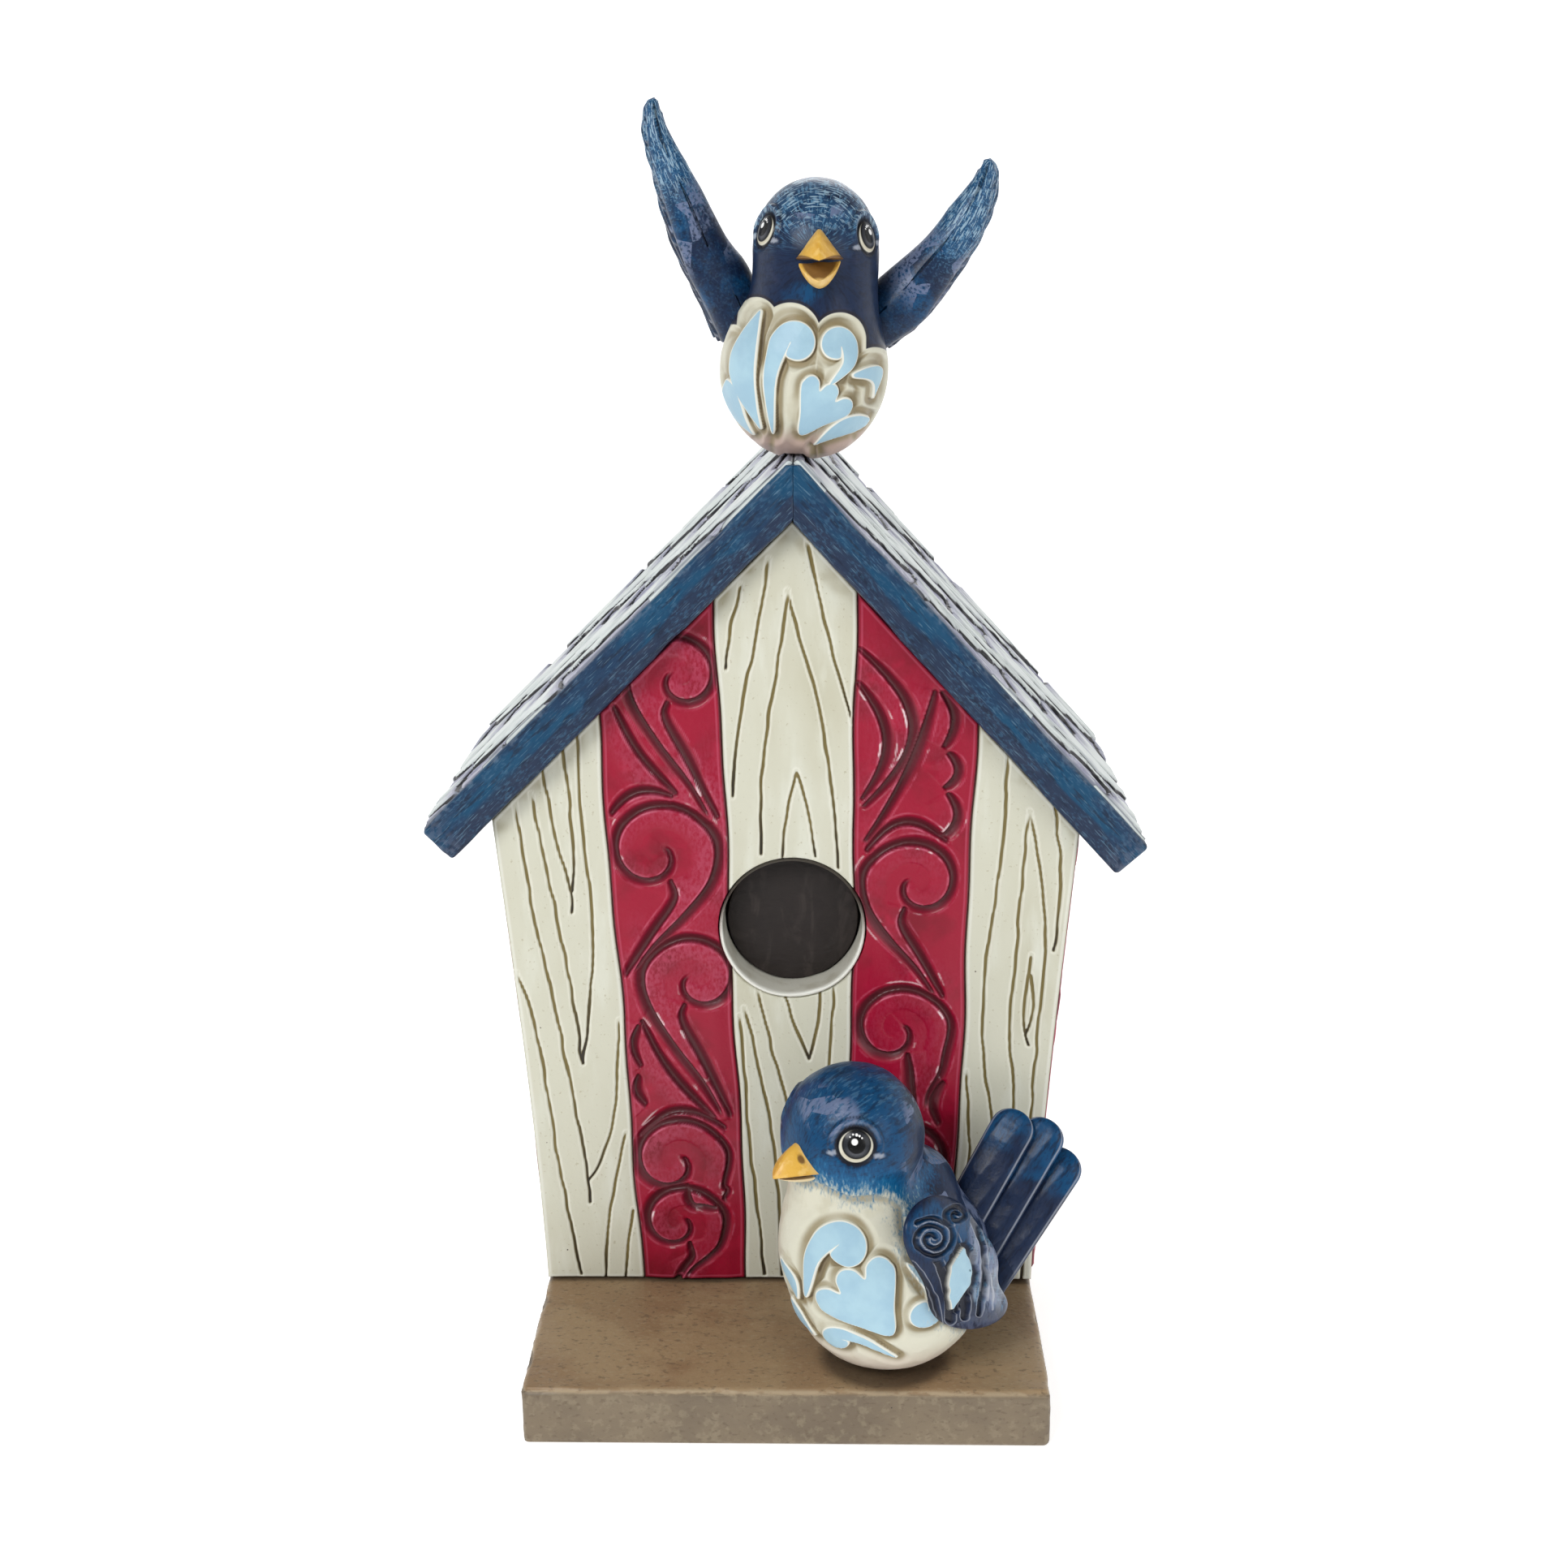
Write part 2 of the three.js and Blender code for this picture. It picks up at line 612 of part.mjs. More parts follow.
// Ledge bird.
const baseBirdSkin = birdBody(BASE_BIRD);
const baseBirdGrown = birdBody(BASE_BIRD, GAP);
const plinthSpace = new THREE.BoxGeometry(PLINTH.width, PLINTH.depth, PLINTH.height).translate(
  0,
  0,
  PLINTH.height / 2 + GAP,
);
const baseTail = tailFan(
  [
    { root: [31.0, -35.5, 31.0], tip: [43.8, -27.4, 51.8] },
    { root: [34.5, -35.5, 25.5], tip: [49.7, -26.6, 49.6] },
    { root: [37.5, -35.5, 21.5], tip: [53.4, -26.2, 43.0] },
  ],
  [-0.35, -0.93, 0.2],
  [4.2, 4.5],
  4.4,
);
const wingNear = pebble([32.4, -51.8, 36.0], [13, 9.5, -19], [0.76, -0.6, 0.24], [15.6, 10.8, 4.6], 18);
const wingFar = pebble([26, -29.8, 37], [14, -2, -17], [0.35, 0.9, 0.3], [12.5, 8.5, 3.6], 14);
const baseWings = toGeometry(toSolid(wingNear).add(toSolid(wingFar)));
add('base_bird_body', cut(baseBirdSkin, plinthSpace, BORES.baseBird, BORES.baseTail), PAINT.navy);
add('base_bird_wing_near', cut(wingNear, baseBirdGrown), PAINT.navy);
add('base_bird_wing_far', cut(wingFar, baseBirdGrown), PAINT.navy);
add('base_bird_tail', cut(baseTail, baseBirdGrown, BORES.baseTail, baseWings), PAINT.navy);
add(
  'base_bird_beak_upper',
  cut(beakHalf([5.6, -47.6, 58.7], [-7.3, -7.4, -2.8], [0, 0, 1], [10.8, 6, 3.7]), baseBirdGrown),
  PAINT.beak,
);
add(
  'base_bird_beak_lower',
  cut(beakHalf([5.6, -47.6, 53.5], [-7, -7.2, 0.5], [0, 0, 1], [9.4, 4.8, 1.3]), baseBirdGrown),
  PAINT.beak,
);

// Metal pins that hold the birds, wings and tails.
const PIN_NAMES = {
  baseBird: 'base_bird_pin',
  roofBird: 'roof_bird_pin',
  wingLeft: 'roof_bird_wing_pin_left',
  wingRight: 'roof_bird_wing_pin_right',
  roofTail: 'roof_bird_tail_pin',
  baseTail: 'base_bird_tail_pin',
};
for (const [key, { from, to }] of Object.entries(PIN_LINES)) {
  add(PIN_NAMES[key], rod(from, to, PIN.radius, 12), STEEL);
}

export default birdhouse;
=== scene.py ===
"""Folk-art birdhouse figurine with two birds: cast resin, carved and painted by hand.

Shapes are worked out in millimetres in the frame's axes and written to the meshes in metres. Ornament is
built from scrolls, leaves and strokes. Wood grain and painted borders are curves through points that were
placed one by one. Each mesh carries the distance to its curves as point attributes, and the procedural paints
read them.
"""

import json
import math

import bpy
import numpy as np
from mathutils import Matrix, Vector

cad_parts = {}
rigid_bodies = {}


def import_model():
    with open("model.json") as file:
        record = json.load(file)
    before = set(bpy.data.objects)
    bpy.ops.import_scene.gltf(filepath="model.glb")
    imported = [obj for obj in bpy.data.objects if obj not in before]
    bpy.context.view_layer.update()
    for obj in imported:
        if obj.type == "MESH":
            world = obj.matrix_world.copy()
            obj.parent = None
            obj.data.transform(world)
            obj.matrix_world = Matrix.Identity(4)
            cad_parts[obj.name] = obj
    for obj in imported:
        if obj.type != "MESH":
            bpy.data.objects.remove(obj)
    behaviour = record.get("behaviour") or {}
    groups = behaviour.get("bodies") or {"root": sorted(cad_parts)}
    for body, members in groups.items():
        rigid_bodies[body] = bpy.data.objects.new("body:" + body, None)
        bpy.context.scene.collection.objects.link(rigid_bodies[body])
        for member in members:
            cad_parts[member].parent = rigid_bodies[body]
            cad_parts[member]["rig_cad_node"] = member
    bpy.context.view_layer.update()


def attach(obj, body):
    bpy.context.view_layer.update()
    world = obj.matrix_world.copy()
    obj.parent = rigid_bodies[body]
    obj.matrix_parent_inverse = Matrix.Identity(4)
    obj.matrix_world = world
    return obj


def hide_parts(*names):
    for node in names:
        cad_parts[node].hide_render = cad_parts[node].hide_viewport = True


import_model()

MM = 0.001
GAP = 0.3
MITRE_GAP = 0.04
JOINT_GAP = 0.12

# ---------- sizes, most of them shared with the CAD model ----------
PLINTH = (100.0, 111.0, 12.0)
FOOT = 12.3
WALL = {"front": -15.0, "back": 55.5, "half": 50.0, "flare": 6.8, "rise": 97.0, "power": 1.35, "proud": 0.95}
ROOF = {
    "front": -20.5, "back": 61.5, "thickness": 8.2, "ridge": 180.4, "rim": 1.2, "rebate": 1.0, "proud": 0.8,
}
RIDGE = {"left": 0.6, "right": 3.2}
PITCH = {"left": math.radians(44.6), "right": math.radians(47.7)}
EAVE = {"left": -70.1, "right": 69.5}
ENTRANCE = {"x": 1.15, "z": 89.3, "bore": 13.3, "sleeve": 14.3}
JOINTS = [(-30.0, -38.0), (-8.6, -13.8), (12.2, 13.9), (33.5, 38.0)]
BOARD = 4.7

ROOF_BIRD = {
    "lumps": [
        ((3.9, -5.0, 196.3), (15.7, 15.5, 16.6)),
        ((5.9, -6.0, 208.0), (11.2, 11.8, 10.0)),
        ((6.1, -6.5, 217.4), (11.6, 12.8, 13.3)),
        ((3.9, 7.0, 194.5), (11.5, 14.0, 11.5)),
    ],
    "heart": (4.8, -5.5, 204.0),
    "head": (6.1, -6.5, 218.6),
    "ahead": (0, -1, -0.1),
    "eye_size": 3.1,
    "looks": [((-9.6, -6.4, 3.0), 1), ((9.6, -6.4, 1.6), -1)],
}
BASE_BIRD = {
    "lumps": [
        ((19.2, -43.5, 30.6), (19.0, 16.3, 18.9)),
        ((14.5, -43.5, 37.0), (15.6, 14.5, 13.0)),
        ((13.2, -43.5, 44.5), (13.0, 12.8, 11.5)),
        ((12.7, -43.0, 58.4), (13.5, 12.8, 14.0)),
        ((24.0, -38.0, 44.0), (9.0, 8.5, 9.8)),
        ((27.0, -36.5, 32.0), (12.0, 10.5, 12.0)),
    ],
    "heart": (14.5, -43.0, 41.5),
    "head": (12.9, -43.0, 59.6),
    "ahead": (-0.75, -0.65, -0.2),
    "eye_size": 3.45,
    "looks": [((0.3, -11, 2.4), 1), ((-9.6, 3.6, 2.4), -1)],
}
BLEND = 4.0

BODY_FINENESS = 92

# The camera stands here. The folded wing is drawn as seen from it, on the plane y = WING_PLANE.
VIEWER = np.array([9.0, -384.0, 225.0])
WING_PLANE = -43.0


# ---------- numbers ----------
def smooth(value, low, high):
    """0 at low, 1 at high and the same beyond them, soft between. low may be the larger."""
    t = np.clip((np.asarray(value, float) - low) / (high - low), 0, 1)
    return t * t * (3 - 2 * t)


def lattice(cell, seed):
    mask = 0xFFFFFFFF
    mixed = (cell[:, 0] * 374761393 + cell[:, 1] * 668265263 + cell[:, 2] * 362437 + seed * 974711) & mask
    mixed = ((mixed ^ (mixed >> 13)) * 1274126177) & mask
    return ((mixed ^ (mixed >> 16)) & 0xFFFF) / 32767.5 - 1


def noise(points, size, seed=0):
    """Smooth noise between -1 and 1 with features of about that size in millimetres."""
    place = np.asarray(points, float) / size
    if place.shape[1] == 2:
        place = np.column_stack([place, np.zeros(len(place))])
    cell = np.floor(place).astype(np.int64)
    part = place - cell
    part = part * part * (3 - 2 * part)
    total = np.zeros(len(place))
    for corner in range(8):
        step = np.array([corner & 1, (corner >> 1) & 1, (corner >> 2) & 1])
        weight = np.where(step, part, 1 - part).prod(axis=1)
        total += weight * lattice(cell + step, seed)
    return total


def curve(points, closed=False, per_span=8):
    """Points along a smooth curve that passes through the given ones."""
    p = np.asarray(points, float)
    if closed:
        ring = np.vstack([p[-1:], p, p[:2]])
    else:
        ring = np.vstack([2 * p[0] - p[1], p, 2 * p[-1] - p[-2]])
    t = (np.arange(per_span) / per_span)[:, None]
    spans = []
    for a, b, c, d in zip(ring, ring[1:], ring[2:], ring[3:]):
        spans.append(
            0.5 * (2 * b + (c - a) * t + (2 * a - 5 * b + 4 * c - d) * t**2 + (3 * b - a - 3 * c + d) * t**3)
        )
    spans.append(p[:1] if closed else p[-1:])
    return np.vstack(spans)


def to_line(points, line, reach):
    """Distance to a flat polyline, the side of it (1 on the left) and how far along, for each point."""
    distance = np.full(len(points), float(reach))
    side = np.ones(len(points))
    along = np.zeros(len(points))
    near = np.flatnonzero(((points > line.min(0) - reach) & (points < line.max(0) + reach)).all(axis=1))
    p = points[near]
    best = np.full(len(near), float(reach) ** 2)
    best_side = np.ones(len(near))
    best_along = np.zeros(len(near))
    lengths = np.linalg.norm(np.diff(line, axis=0), axis=1)
    done = 0.0
    for start, end, length in zip(line, line[1:], lengths):
        if length < 1e-9:
            continue
        step = (end - start) / length
        off = p - start
        t = np.clip(off @ step, 0, length)
        gap = ((off - t[:, None] * step) ** 2).sum(axis=1)
        closer = gap < best
        best[closer] = gap[closer]
        best_side[closer] = np.sign(step[0] * off[closer, 1] - step[1] * off[closer, 0])
        best_along[closer] = (done + t[closer]) / lengths.sum()
        done += length
    distance[near] = np.sqrt(best)
    side[near] = best_side
    along[near] = best_along
    return distance, side, along


def to_shape(points, outline, reach):
    """Signed distance to a closed outline, negative inside."""
    distance, _, _ = to_line(points, outline, reach)
    x, y = points[:, 0], points[:, 1]
    inside = np.zeros(len(points), bool)
    near = np.flatnonzero(((points > outline.min(0)) & (points < outline.max(0))).all(axis=1))
    odd = np.zeros(len(near), bool)
    for a, b in zip(outline, outline[1:]):
        if a[1] == b[1]:
            continue
        crosses = (a[1] > y[near]) != (b[1] > y[near])
        at = a[0] + (y[near] - a[1]) * (b[0] - a[0]) / (b[1] - a[1])
        odd ^= crosses & (x[near] < at)
    inside[near] = odd
    return np.where(inside, -distance, distance)


def seen_from_front(points, depth):
    """x and z where lines from the viewer to the points meet the plane y = depth."""
    away = points - VIEWER
    return VIEWER[[0, 2]] + away[:, [0, 2]] * ((depth - VIEWER[1]) / away[:, 1])[:, None]


def unit(vector):
    vector = np.asarray(vector, float)
    return vector / np.linalg.norm(vector)


def unit_rows(vectors):
    return vectors / np.maximum(np.linalg.norm(vectors, axis=1), 1e-9)[:, None]


def level(value):
    """A function that gives that value everywhere."""
    return lambda at: np.full(np.shape(at), value)


# ---------- meshes ----------
def grid_faces(rows, columns, wrap=False):
    """Quads between points stored row by row. wrap joins the last column to the first."""
    index = np.arange(rows * columns).reshape(rows, columns)
    right = np.roll(index, -1, axis=1) if wrap else index[:, 1:]
    left = index if wrap else index[:, :-1]
    return np.stack([left[:-1], right[:-1], right[1:], left[1:]], axis=-1).reshape(-1, 4)


def tube_faces(rows, around, inside_out=False):
    """The faces of a tube whose points are stored ring by ring, with both ends closed."""
    caps = [list(range(around))[::-1], list(range((rows - 1) * around, rows * around))]
    faces = grid_faces(rows, around, wrap=True).tolist() + caps
    return [face[::-1] for face in faces] if inside_out else faces


def open_loops(faces, count):
    """The mesh's open edges as ordered loops."""
    edges = np.vstack([np.stack([faces[:, i], np.roll(faces, -1, axis=1)[:, i]], axis=1) for i in range(4)])
    codes = edges[:, 0] * count + edges[:, 1]
    alone = edges[~np.isin(codes, edges[:, 1] * count + edges[:, 0])]
    follow = dict(alone.tolist())
    loops = []
    while follow:
        start, here = follow.popitem()
        loop = [start]
        while here != start:
            loop.append(here)
            here = follow.pop(here)
        loops.append(loop)
    return loops


def piece(name, points, faces, nodes, slot, paint, fields=None, colours=None):
    mesh = bpy.data.meshes.new(name)
    mesh.from_pydata((np.asarray(points) * MM).tolist(), [], [list(face) for face in faces])
    for key, values in (fields or {}).items():
        values = np.asarray(values, np.float32)
        kind, channel = ("FLOAT_VECTOR", "vector") if values.ndim == 2 else ("FLOAT", "value")
        layer = mesh.attributes.new(key, kind, "POINT")
        layer.data.foreach_set(channel, values.ravel())
    if colours is not None:
        layer = mesh.color_attributes.new("hue", "FLOAT_COLOR", "POINT")
        layer.data.foreach_set("color", np.asarray(colours, np.float32).ravel())
    mesh.polygons.foreach_set("use_smooth", np.ones(len(mesh.polygons), bool))
    mesh.materials.append(paint)
    mesh.update()
    obj = bpy.data.objects.new(name, mesh)
    bpy.context.scene.collection.objects.link(obj)
    if nodes:
        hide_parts(*nodes)
    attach(obj, "root")
    return obj


def panel(look, edges, span, place, cell, relief, hole=None, flat_back=True):
    """A carved board with a rounded rim.

    edges gives the left and right edge as functions of height, span the foot and the top as a function
    of the across coordinate, place puts (across, height, out) in the frame, and relief gives how far
    each point stands out and the painted fields there.
    """
    left, right = edges
    foot, top = span
    rounding = 0.4
    width = float(np.max(right(np.array([foot, 100.0])) - left(np.array([foot, 100.0]))))
    columns = int(width / cell) + 1
    u = np.linspace(0, 1, columns)
    high = np.full(columns, foot)
    for _ in range(20):
        high = top(left(high) + (right(high) - left(high)) * u)
    rows = int((high.max() - foot) / cell) + 1
    height = foot + (high - foot) * np.linspace(0, 1, rows)[:, None]
    across = left(height) + (right(height) - left(height)) * u
    faces = grid_faces(rows, columns)
    flat = np.column_stack([across.ravel(), height.ravel()])
    if hole is not None:
        centre, radius = np.array(hole[:2]), hole[2]
        inside = np.linalg.norm(flat[faces].mean(axis=1) - centre, axis=1) < radius
        rim = np.intersect1d(faces[inside], faces[~inside])
        away = flat[rim] - centre
        distance = np.linalg.norm(away, axis=1)
        close = np.abs(distance - radius) < 1.5 * cell
        flat[rim[close]] = centre + away[close] * (radius / distance[close])[:, None]
        faces = faces[~inside]
    side = np.minimum(flat[:, 0] - left(flat[:, 1]), right(flat[:, 1]) - flat[:, 0])
    end = np.minimum(flat[:, 1] - foot, (np.tile(high, rows) - flat[:, 1]) * 0.7)
    edge = np.minimum(side, end)
    out, fields = relief(flat, side)
    inset = np.clip(1 - edge / rounding, 0, 1)
    out = out - rounding * (1 - np.sqrt(np.clip(1 - inset**2, 0, 1)))
    used, again = np.unique(faces, return_inverse=True)
    faces = again.reshape(faces.shape)
    flat, out = flat[used], out[used]
    fields = {key: values[used] for key, values in fields.items()}
    fields["edge"] = np.clip(edge[used], 0, 5)
    count = len(flat)
    front = place(flat[:, 0], flat[:, 1], out)
    back = place(flat[:, 0], flat[:, 1], np.full(count, -BOARD))
    loops = open_loops(faces, count)
    if flat_back:
        keep = np.concatenate([np.array(loop) for loop in loops])
    else:
        keep = np.arange(count)
    behind = np.full(count, -1)
    behind[keep] = count + np.arange(len(keep))
    sides = [(b, a, behind[a], behind[b]) for loop in loops for a, b in zip(loop, loop[1:] + loop[:1])]
    if flat_back:
        backs = [tuple(behind[loop][::-1]) for loop in loops]
    else:
        backs = [tuple(row) for row in behind[faces][:, ::-1].tolist()]
    points = np.vstack([front, back[keep]])
    for key, values in fields.items():
        behind_value = 2.0 if key == "edge" else 0.0
        fields[key] = np.concatenate([values, np.full(len(keep), behind_value)])
    return piece(points=points, faces=faces.tolist() + sides + backs, fields=fields, **look)


def round_box(size, cells, radius):
    """Points, faces and outward normals of a box with rounded edges, from its lowest corner."""
    size = np.asarray(size, float)
    steps = []
    for length, cell in zip(size, cells):
        middle = np.linspace(radius, length - radius, max(int((length - 2 * radius) / cell), 2))
        rim = radius * (1 - np.cos(np.linspace(0, math.pi / 2, 6)[:-1]))
        steps.append(np.concatenate([rim, middle, length - rim[::-1]]))
    points, faces, total = [], [], 0
    for axis in range(3):
        first, second = (axis + 1) % 3, (axis + 2) % 3
        for level in (0, 1):
            a, b = np.meshgrid(steps[first], steps[second])
            sheet = np.zeros((a.size, 3))
            sheet[:, first], sheet[:, second] = a.ravel(), b.ravel()
            sheet[:, axis] = level * size[axis]
            quads = grid_faces(*a.shape)
            faces.append((quads if level else quads[:, ::-1]) + total)
            points.append(sheet)
            total += len(sheet)
    points, faces = np.vstack(points), np.vstack(faces)
    _, first, again = np.unique(np.round(points, 5), axis=0, return_index=True, return_inverse=True)
    points, faces = points[first], again.reshape(-1)[faces]
    core = np.clip(points, radius, size - radius)
    away = points - core
    normals = away / np.maximum(np.linalg.norm(away, axis=1), 1e-9)[:, None]
    return core + normals * radius, faces, normals


def geodesic(frequency, front=None, crowd=0.35):
    """A sphere of even triangles, crowded towards the front direction."""
    golden = (1 + math.sqrt(5)) / 2
    corners = [(-1, golden, 0), (1, golden, 0), (-1, -golden, 0), (1, -golden, 0)]
    corners += [(z, x, y) for x, y, z in corners[:4]] + [(y, z, x) for x, y, z in corners[:4]]
    corners = np.array(corners, float)
    sides = [
        (i, j, k)
        for i in range(12)
        for j in range(i + 1, 12)
        for k in range(j + 1, 12)
        if max(np.linalg.norm(corners[a] - corners[b]) for a, b in ((i, j), (j, k), (i, k))) < 2.1
    ]
    points, faces, total = [], [], 0
    for i, j, k in sides:
        a, b, c = corners[[i, j, k]]
        if np.dot(np.cross(b - a, c - a), a) < 0:
            b, c = c, b
        index = {}
        for row in range(frequency + 1):
            for column in range(frequency + 1 - row):
                index[row, column] = total + len(index)
                points.append(a + (b - a) * row / frequency + (c - a) * column / frequency)
        for row in range(frequency):
            for column in range(frequency - row):
                here, right, up = index[row, column], index[row + 1, column], index[row, column + 1]
                faces.append((here, right, up))
                if column < frequency - row - 1:
                    faces.append((right, index[row + 1, column + 1], up))
        total += len(index)
    points = np.array(points)
    _, first, again = np.unique(np.round(points, 6), axis=0, return_index=True, return_inverse=True)
    points, faces = points[first], again.reshape(-1)[np.array(faces)]
    points /= np.linalg.norm(points, axis=1)[:, None]
    if front is not None:
        front = np.asarray(front, float) / np.linalg.norm(front)
        angle = np.arccos(np.clip(points @ front, -1, 1))
        across = points - (points @ front)[:, None] * front
        across = unit_rows(across)
        angle = angle - crowd * np.sin(angle)
        points = np.cos(angle)[:, None] * front + np.sin(angle)[:, None] * across
    return points, faces


# ---------- paints ----------
def srgb(red, green, blue):
    values = [c / 255 for c in (red, green, blue)]
    return tuple(c / 12.92 if c < 0.04 else ((c + 0.055) / 1.055) ** 2.4 for c in values) + (1.0,)


class Paint:
    """One painted surface, mixed layer over layer in a node tree."""

    def __init__(self, name, colour, roughness=0.4, coat=0.25):
        self.material = bpy.data.materials.new(name)
        self.material.use_nodes = True
        self.nodes = self.material.node_tree.nodes
        self.links = self.material.node_tree.links
        self.shader = self.nodes["Principled BSDF"]
        self.shader.inputs["Roughness"].default_value = roughness
        self.shader.inputs["Coat Weight"].default_value = coat
        self.shader.inputs["Coat Roughness"].default_value = 0.18
        self.shader.inputs["Specular IOR Level"].default_value = 0.3
        self.roughness = roughness
        self.where = self.nodes.new("ShaderNodeTexCoord").outputs["Object"]
        self.colour = colour
        self.height = None

    def join(self, value, socket):
        if isinstance(value, (int, float, tuple)):
            socket.default_value = value
        else:
            self.links.new(value, socket)

    def field(self, name):
        node = self.nodes.new("ShaderNodeAttribute")
        node.attribute_name = name
        return node.outputs["Vector" if name == "grain" else "Fac"]

    def noise(self, size, detail=3.0, stretch=(1, 1, 1), place=None, seed=0.0, bend=0.0):
        """Noise with features of that size in millimetres."""
        mapping = self.nodes.new("ShaderNodeMapping")
        self.links.new(place or self.where, mapping.inputs["Vector"])
        unit_size = MM if place is None else 1.0
        mapping.inputs["Scale"].default_value = [1 / (size * unit_size * s) for s in stretch]
        mapping.inputs["Location"].default_value = (seed, seed * 0.7, seed * 1.3)
        node = self.nodes.new("ShaderNodeTexNoise")
        node.inputs["Scale"].default_value = 1.0
        node.inputs["Detail"].default_value = detail
        node.inputs["Distortion"].default_value = bend
        self.links.new(mapping.outputs["Vector"], node.inputs["Vector"])
        return node.outputs["Fac"]

    def facets(self, size, depth):
        """A bump like small flats left by a carving knife, and a random value for each of them."""
        mapping = self.nodes.new("ShaderNodeMapping")
        self.links.new(self.where, mapping.inputs["Vector"])
        mapping.inputs["Scale"].default_value = [1 / (size * MM)] * 3
        node = self.nodes.new("ShaderNodeTexVoronoi")
        node.inputs["Scale"].default_value = 1.0
        self.links.new(mapping.outputs["Vector"], node.inputs["Vector"])
        self.bump(node.outputs["Distance"], depth)
        return node.outputs["Color"]

    def maths(self, operation, first, second=0.0):
        node = self.nodes.new("ShaderNodeMath")
        node.operation = operation
        self.join(first, node.inputs[0])
        self.join(second, node.inputs[1])
        return node.outputs["Value"]

    def times(self, first, *others):
        for other in others:
            first = self.maths("MULTIPLY", first, other)
        return first

    def plus(self, first, second):
        return self.maths("ADD", first, second)

    def step(self, value, low, high):
        """0 where the value is at low, 1 where it is at high, soft between."""
        node = self.nodes.new("ShaderNodeMapRange")
        node.interpolation_type = "SMOOTHSTEP"
        node.inputs["From Min"].default_value = min(low, high)
        node.inputs["From Max"].default_value = max(low, high)
        node.inputs["To Min"].default_value = 0.0 if low < high else 1.0
        node.inputs["To Max"].default_value = 1.0 if low < high else 0.0
        self.join(value, node.inputs["Value"])
        return node.outputs["Result"]

    def band(self, value, low, high, soft):
        rise = self.step(value, low - soft, low + soft)
        return self.times(rise, self.step(value, high + soft, high - soft))

    def mix(self, under, over, amount):
        node = self.nodes.new("ShaderNodeMix")
        node.data_type = "RGBA"
        self.join(amount, node.inputs["Factor"])
        self.join(under, node.inputs[6])
        self.join(over, node.inputs[7])
        return node.outputs[2]

    def over(self, colour, amount):
        self.colour = self.mix(self.colour, colour, amount)

    def bump(self, height, depth):
        """Adds a small bump of that depth in millimetres."""
        node = self.nodes.new("ShaderNodeBump")
        node.inputs["Distance"].default_value = depth * MM
        node.inputs["Strength"].default_value = 1.0
        self.links.new(height, node.inputs["Height"])
        if self.height is not None:
            self.links.new(self.height, node.inputs["Normal"])
        self.height = node.outputs["Normal"]

    def done(self, rough_noise=4.0, rough_spread=0.12):
        node = self.nodes.new("ShaderNodeMapRange")
        node.inputs["To Min"].default_value = self.roughness - rough_spread
        node.inputs["To Max"].default_value = self.roughness + rough_spread
        self.links.new(self.noise(rough_noise, 4.0, seed=5), node.inputs["Value"])
        self.links.new(node.outputs["Result"], self.shader.inputs["Roughness"])
        self.links.new(self.colour, self.shader.inputs["Base Color"])
        if self.height is not None:
            self.links.new(self.height, self.shader.inputs["Normal"])
        return self.material


def cream_paint():
    p = Paint("cream_board_paint", srgb(206, 205, 187), 0.42, 0.12)
    p.over(srgb(194, 191, 169), p.step(p.noise(14, 3, (1, 1, 3)), 0.45, 0.75))
    p.over(srgb(217, 218, 204), p.step(p.noise(5, 4, (1, 1, 4), seed=2), 0.5, 0.8))
    # painted shade: olive-brown darkening of the boards just below the roof, in blotches
    p.over(srgb(150, 140, 105), p.times(p.step(p.field("stain"), 0.1, 1), 0.75))
    p.over(srgb(172, 164, 134), p.times(p.step(p.noise(0.7, 2, seed=3), 0.66, 0.74), 0.55))
    p.over(srgb(90, 84, 70), p.step(p.noise(1.1, 1, seed=8), 0.80, 0.84))
    # painted highlight: a light line just inside each board's rounded edge
    p.over(srgb(226, 226, 216), p.times(p.band(p.field("edge"), 0.3, 0.8, 0.2), 0.6))
    p.over(srgb(120, 108, 82), p.times(p.step(p.field("edge"), 0.22, 0.0), 0.8))
    # painted highlight along the rims of the carved grain lines
    p.over(srgb(228, 227, 214), p.times(p.field("lip"), 0.7))
    p.over(srgb(124, 110, 66), p.step(p.field("groove"), 0.12, 0.62))
    p.over(srgb(38, 32, 26), p.times(p.step(p.field("groove"), 0.3, 0.8), p.field("ink")))
    p.bump(p.noise(0.8, 4), 0.05)
    return p.done()


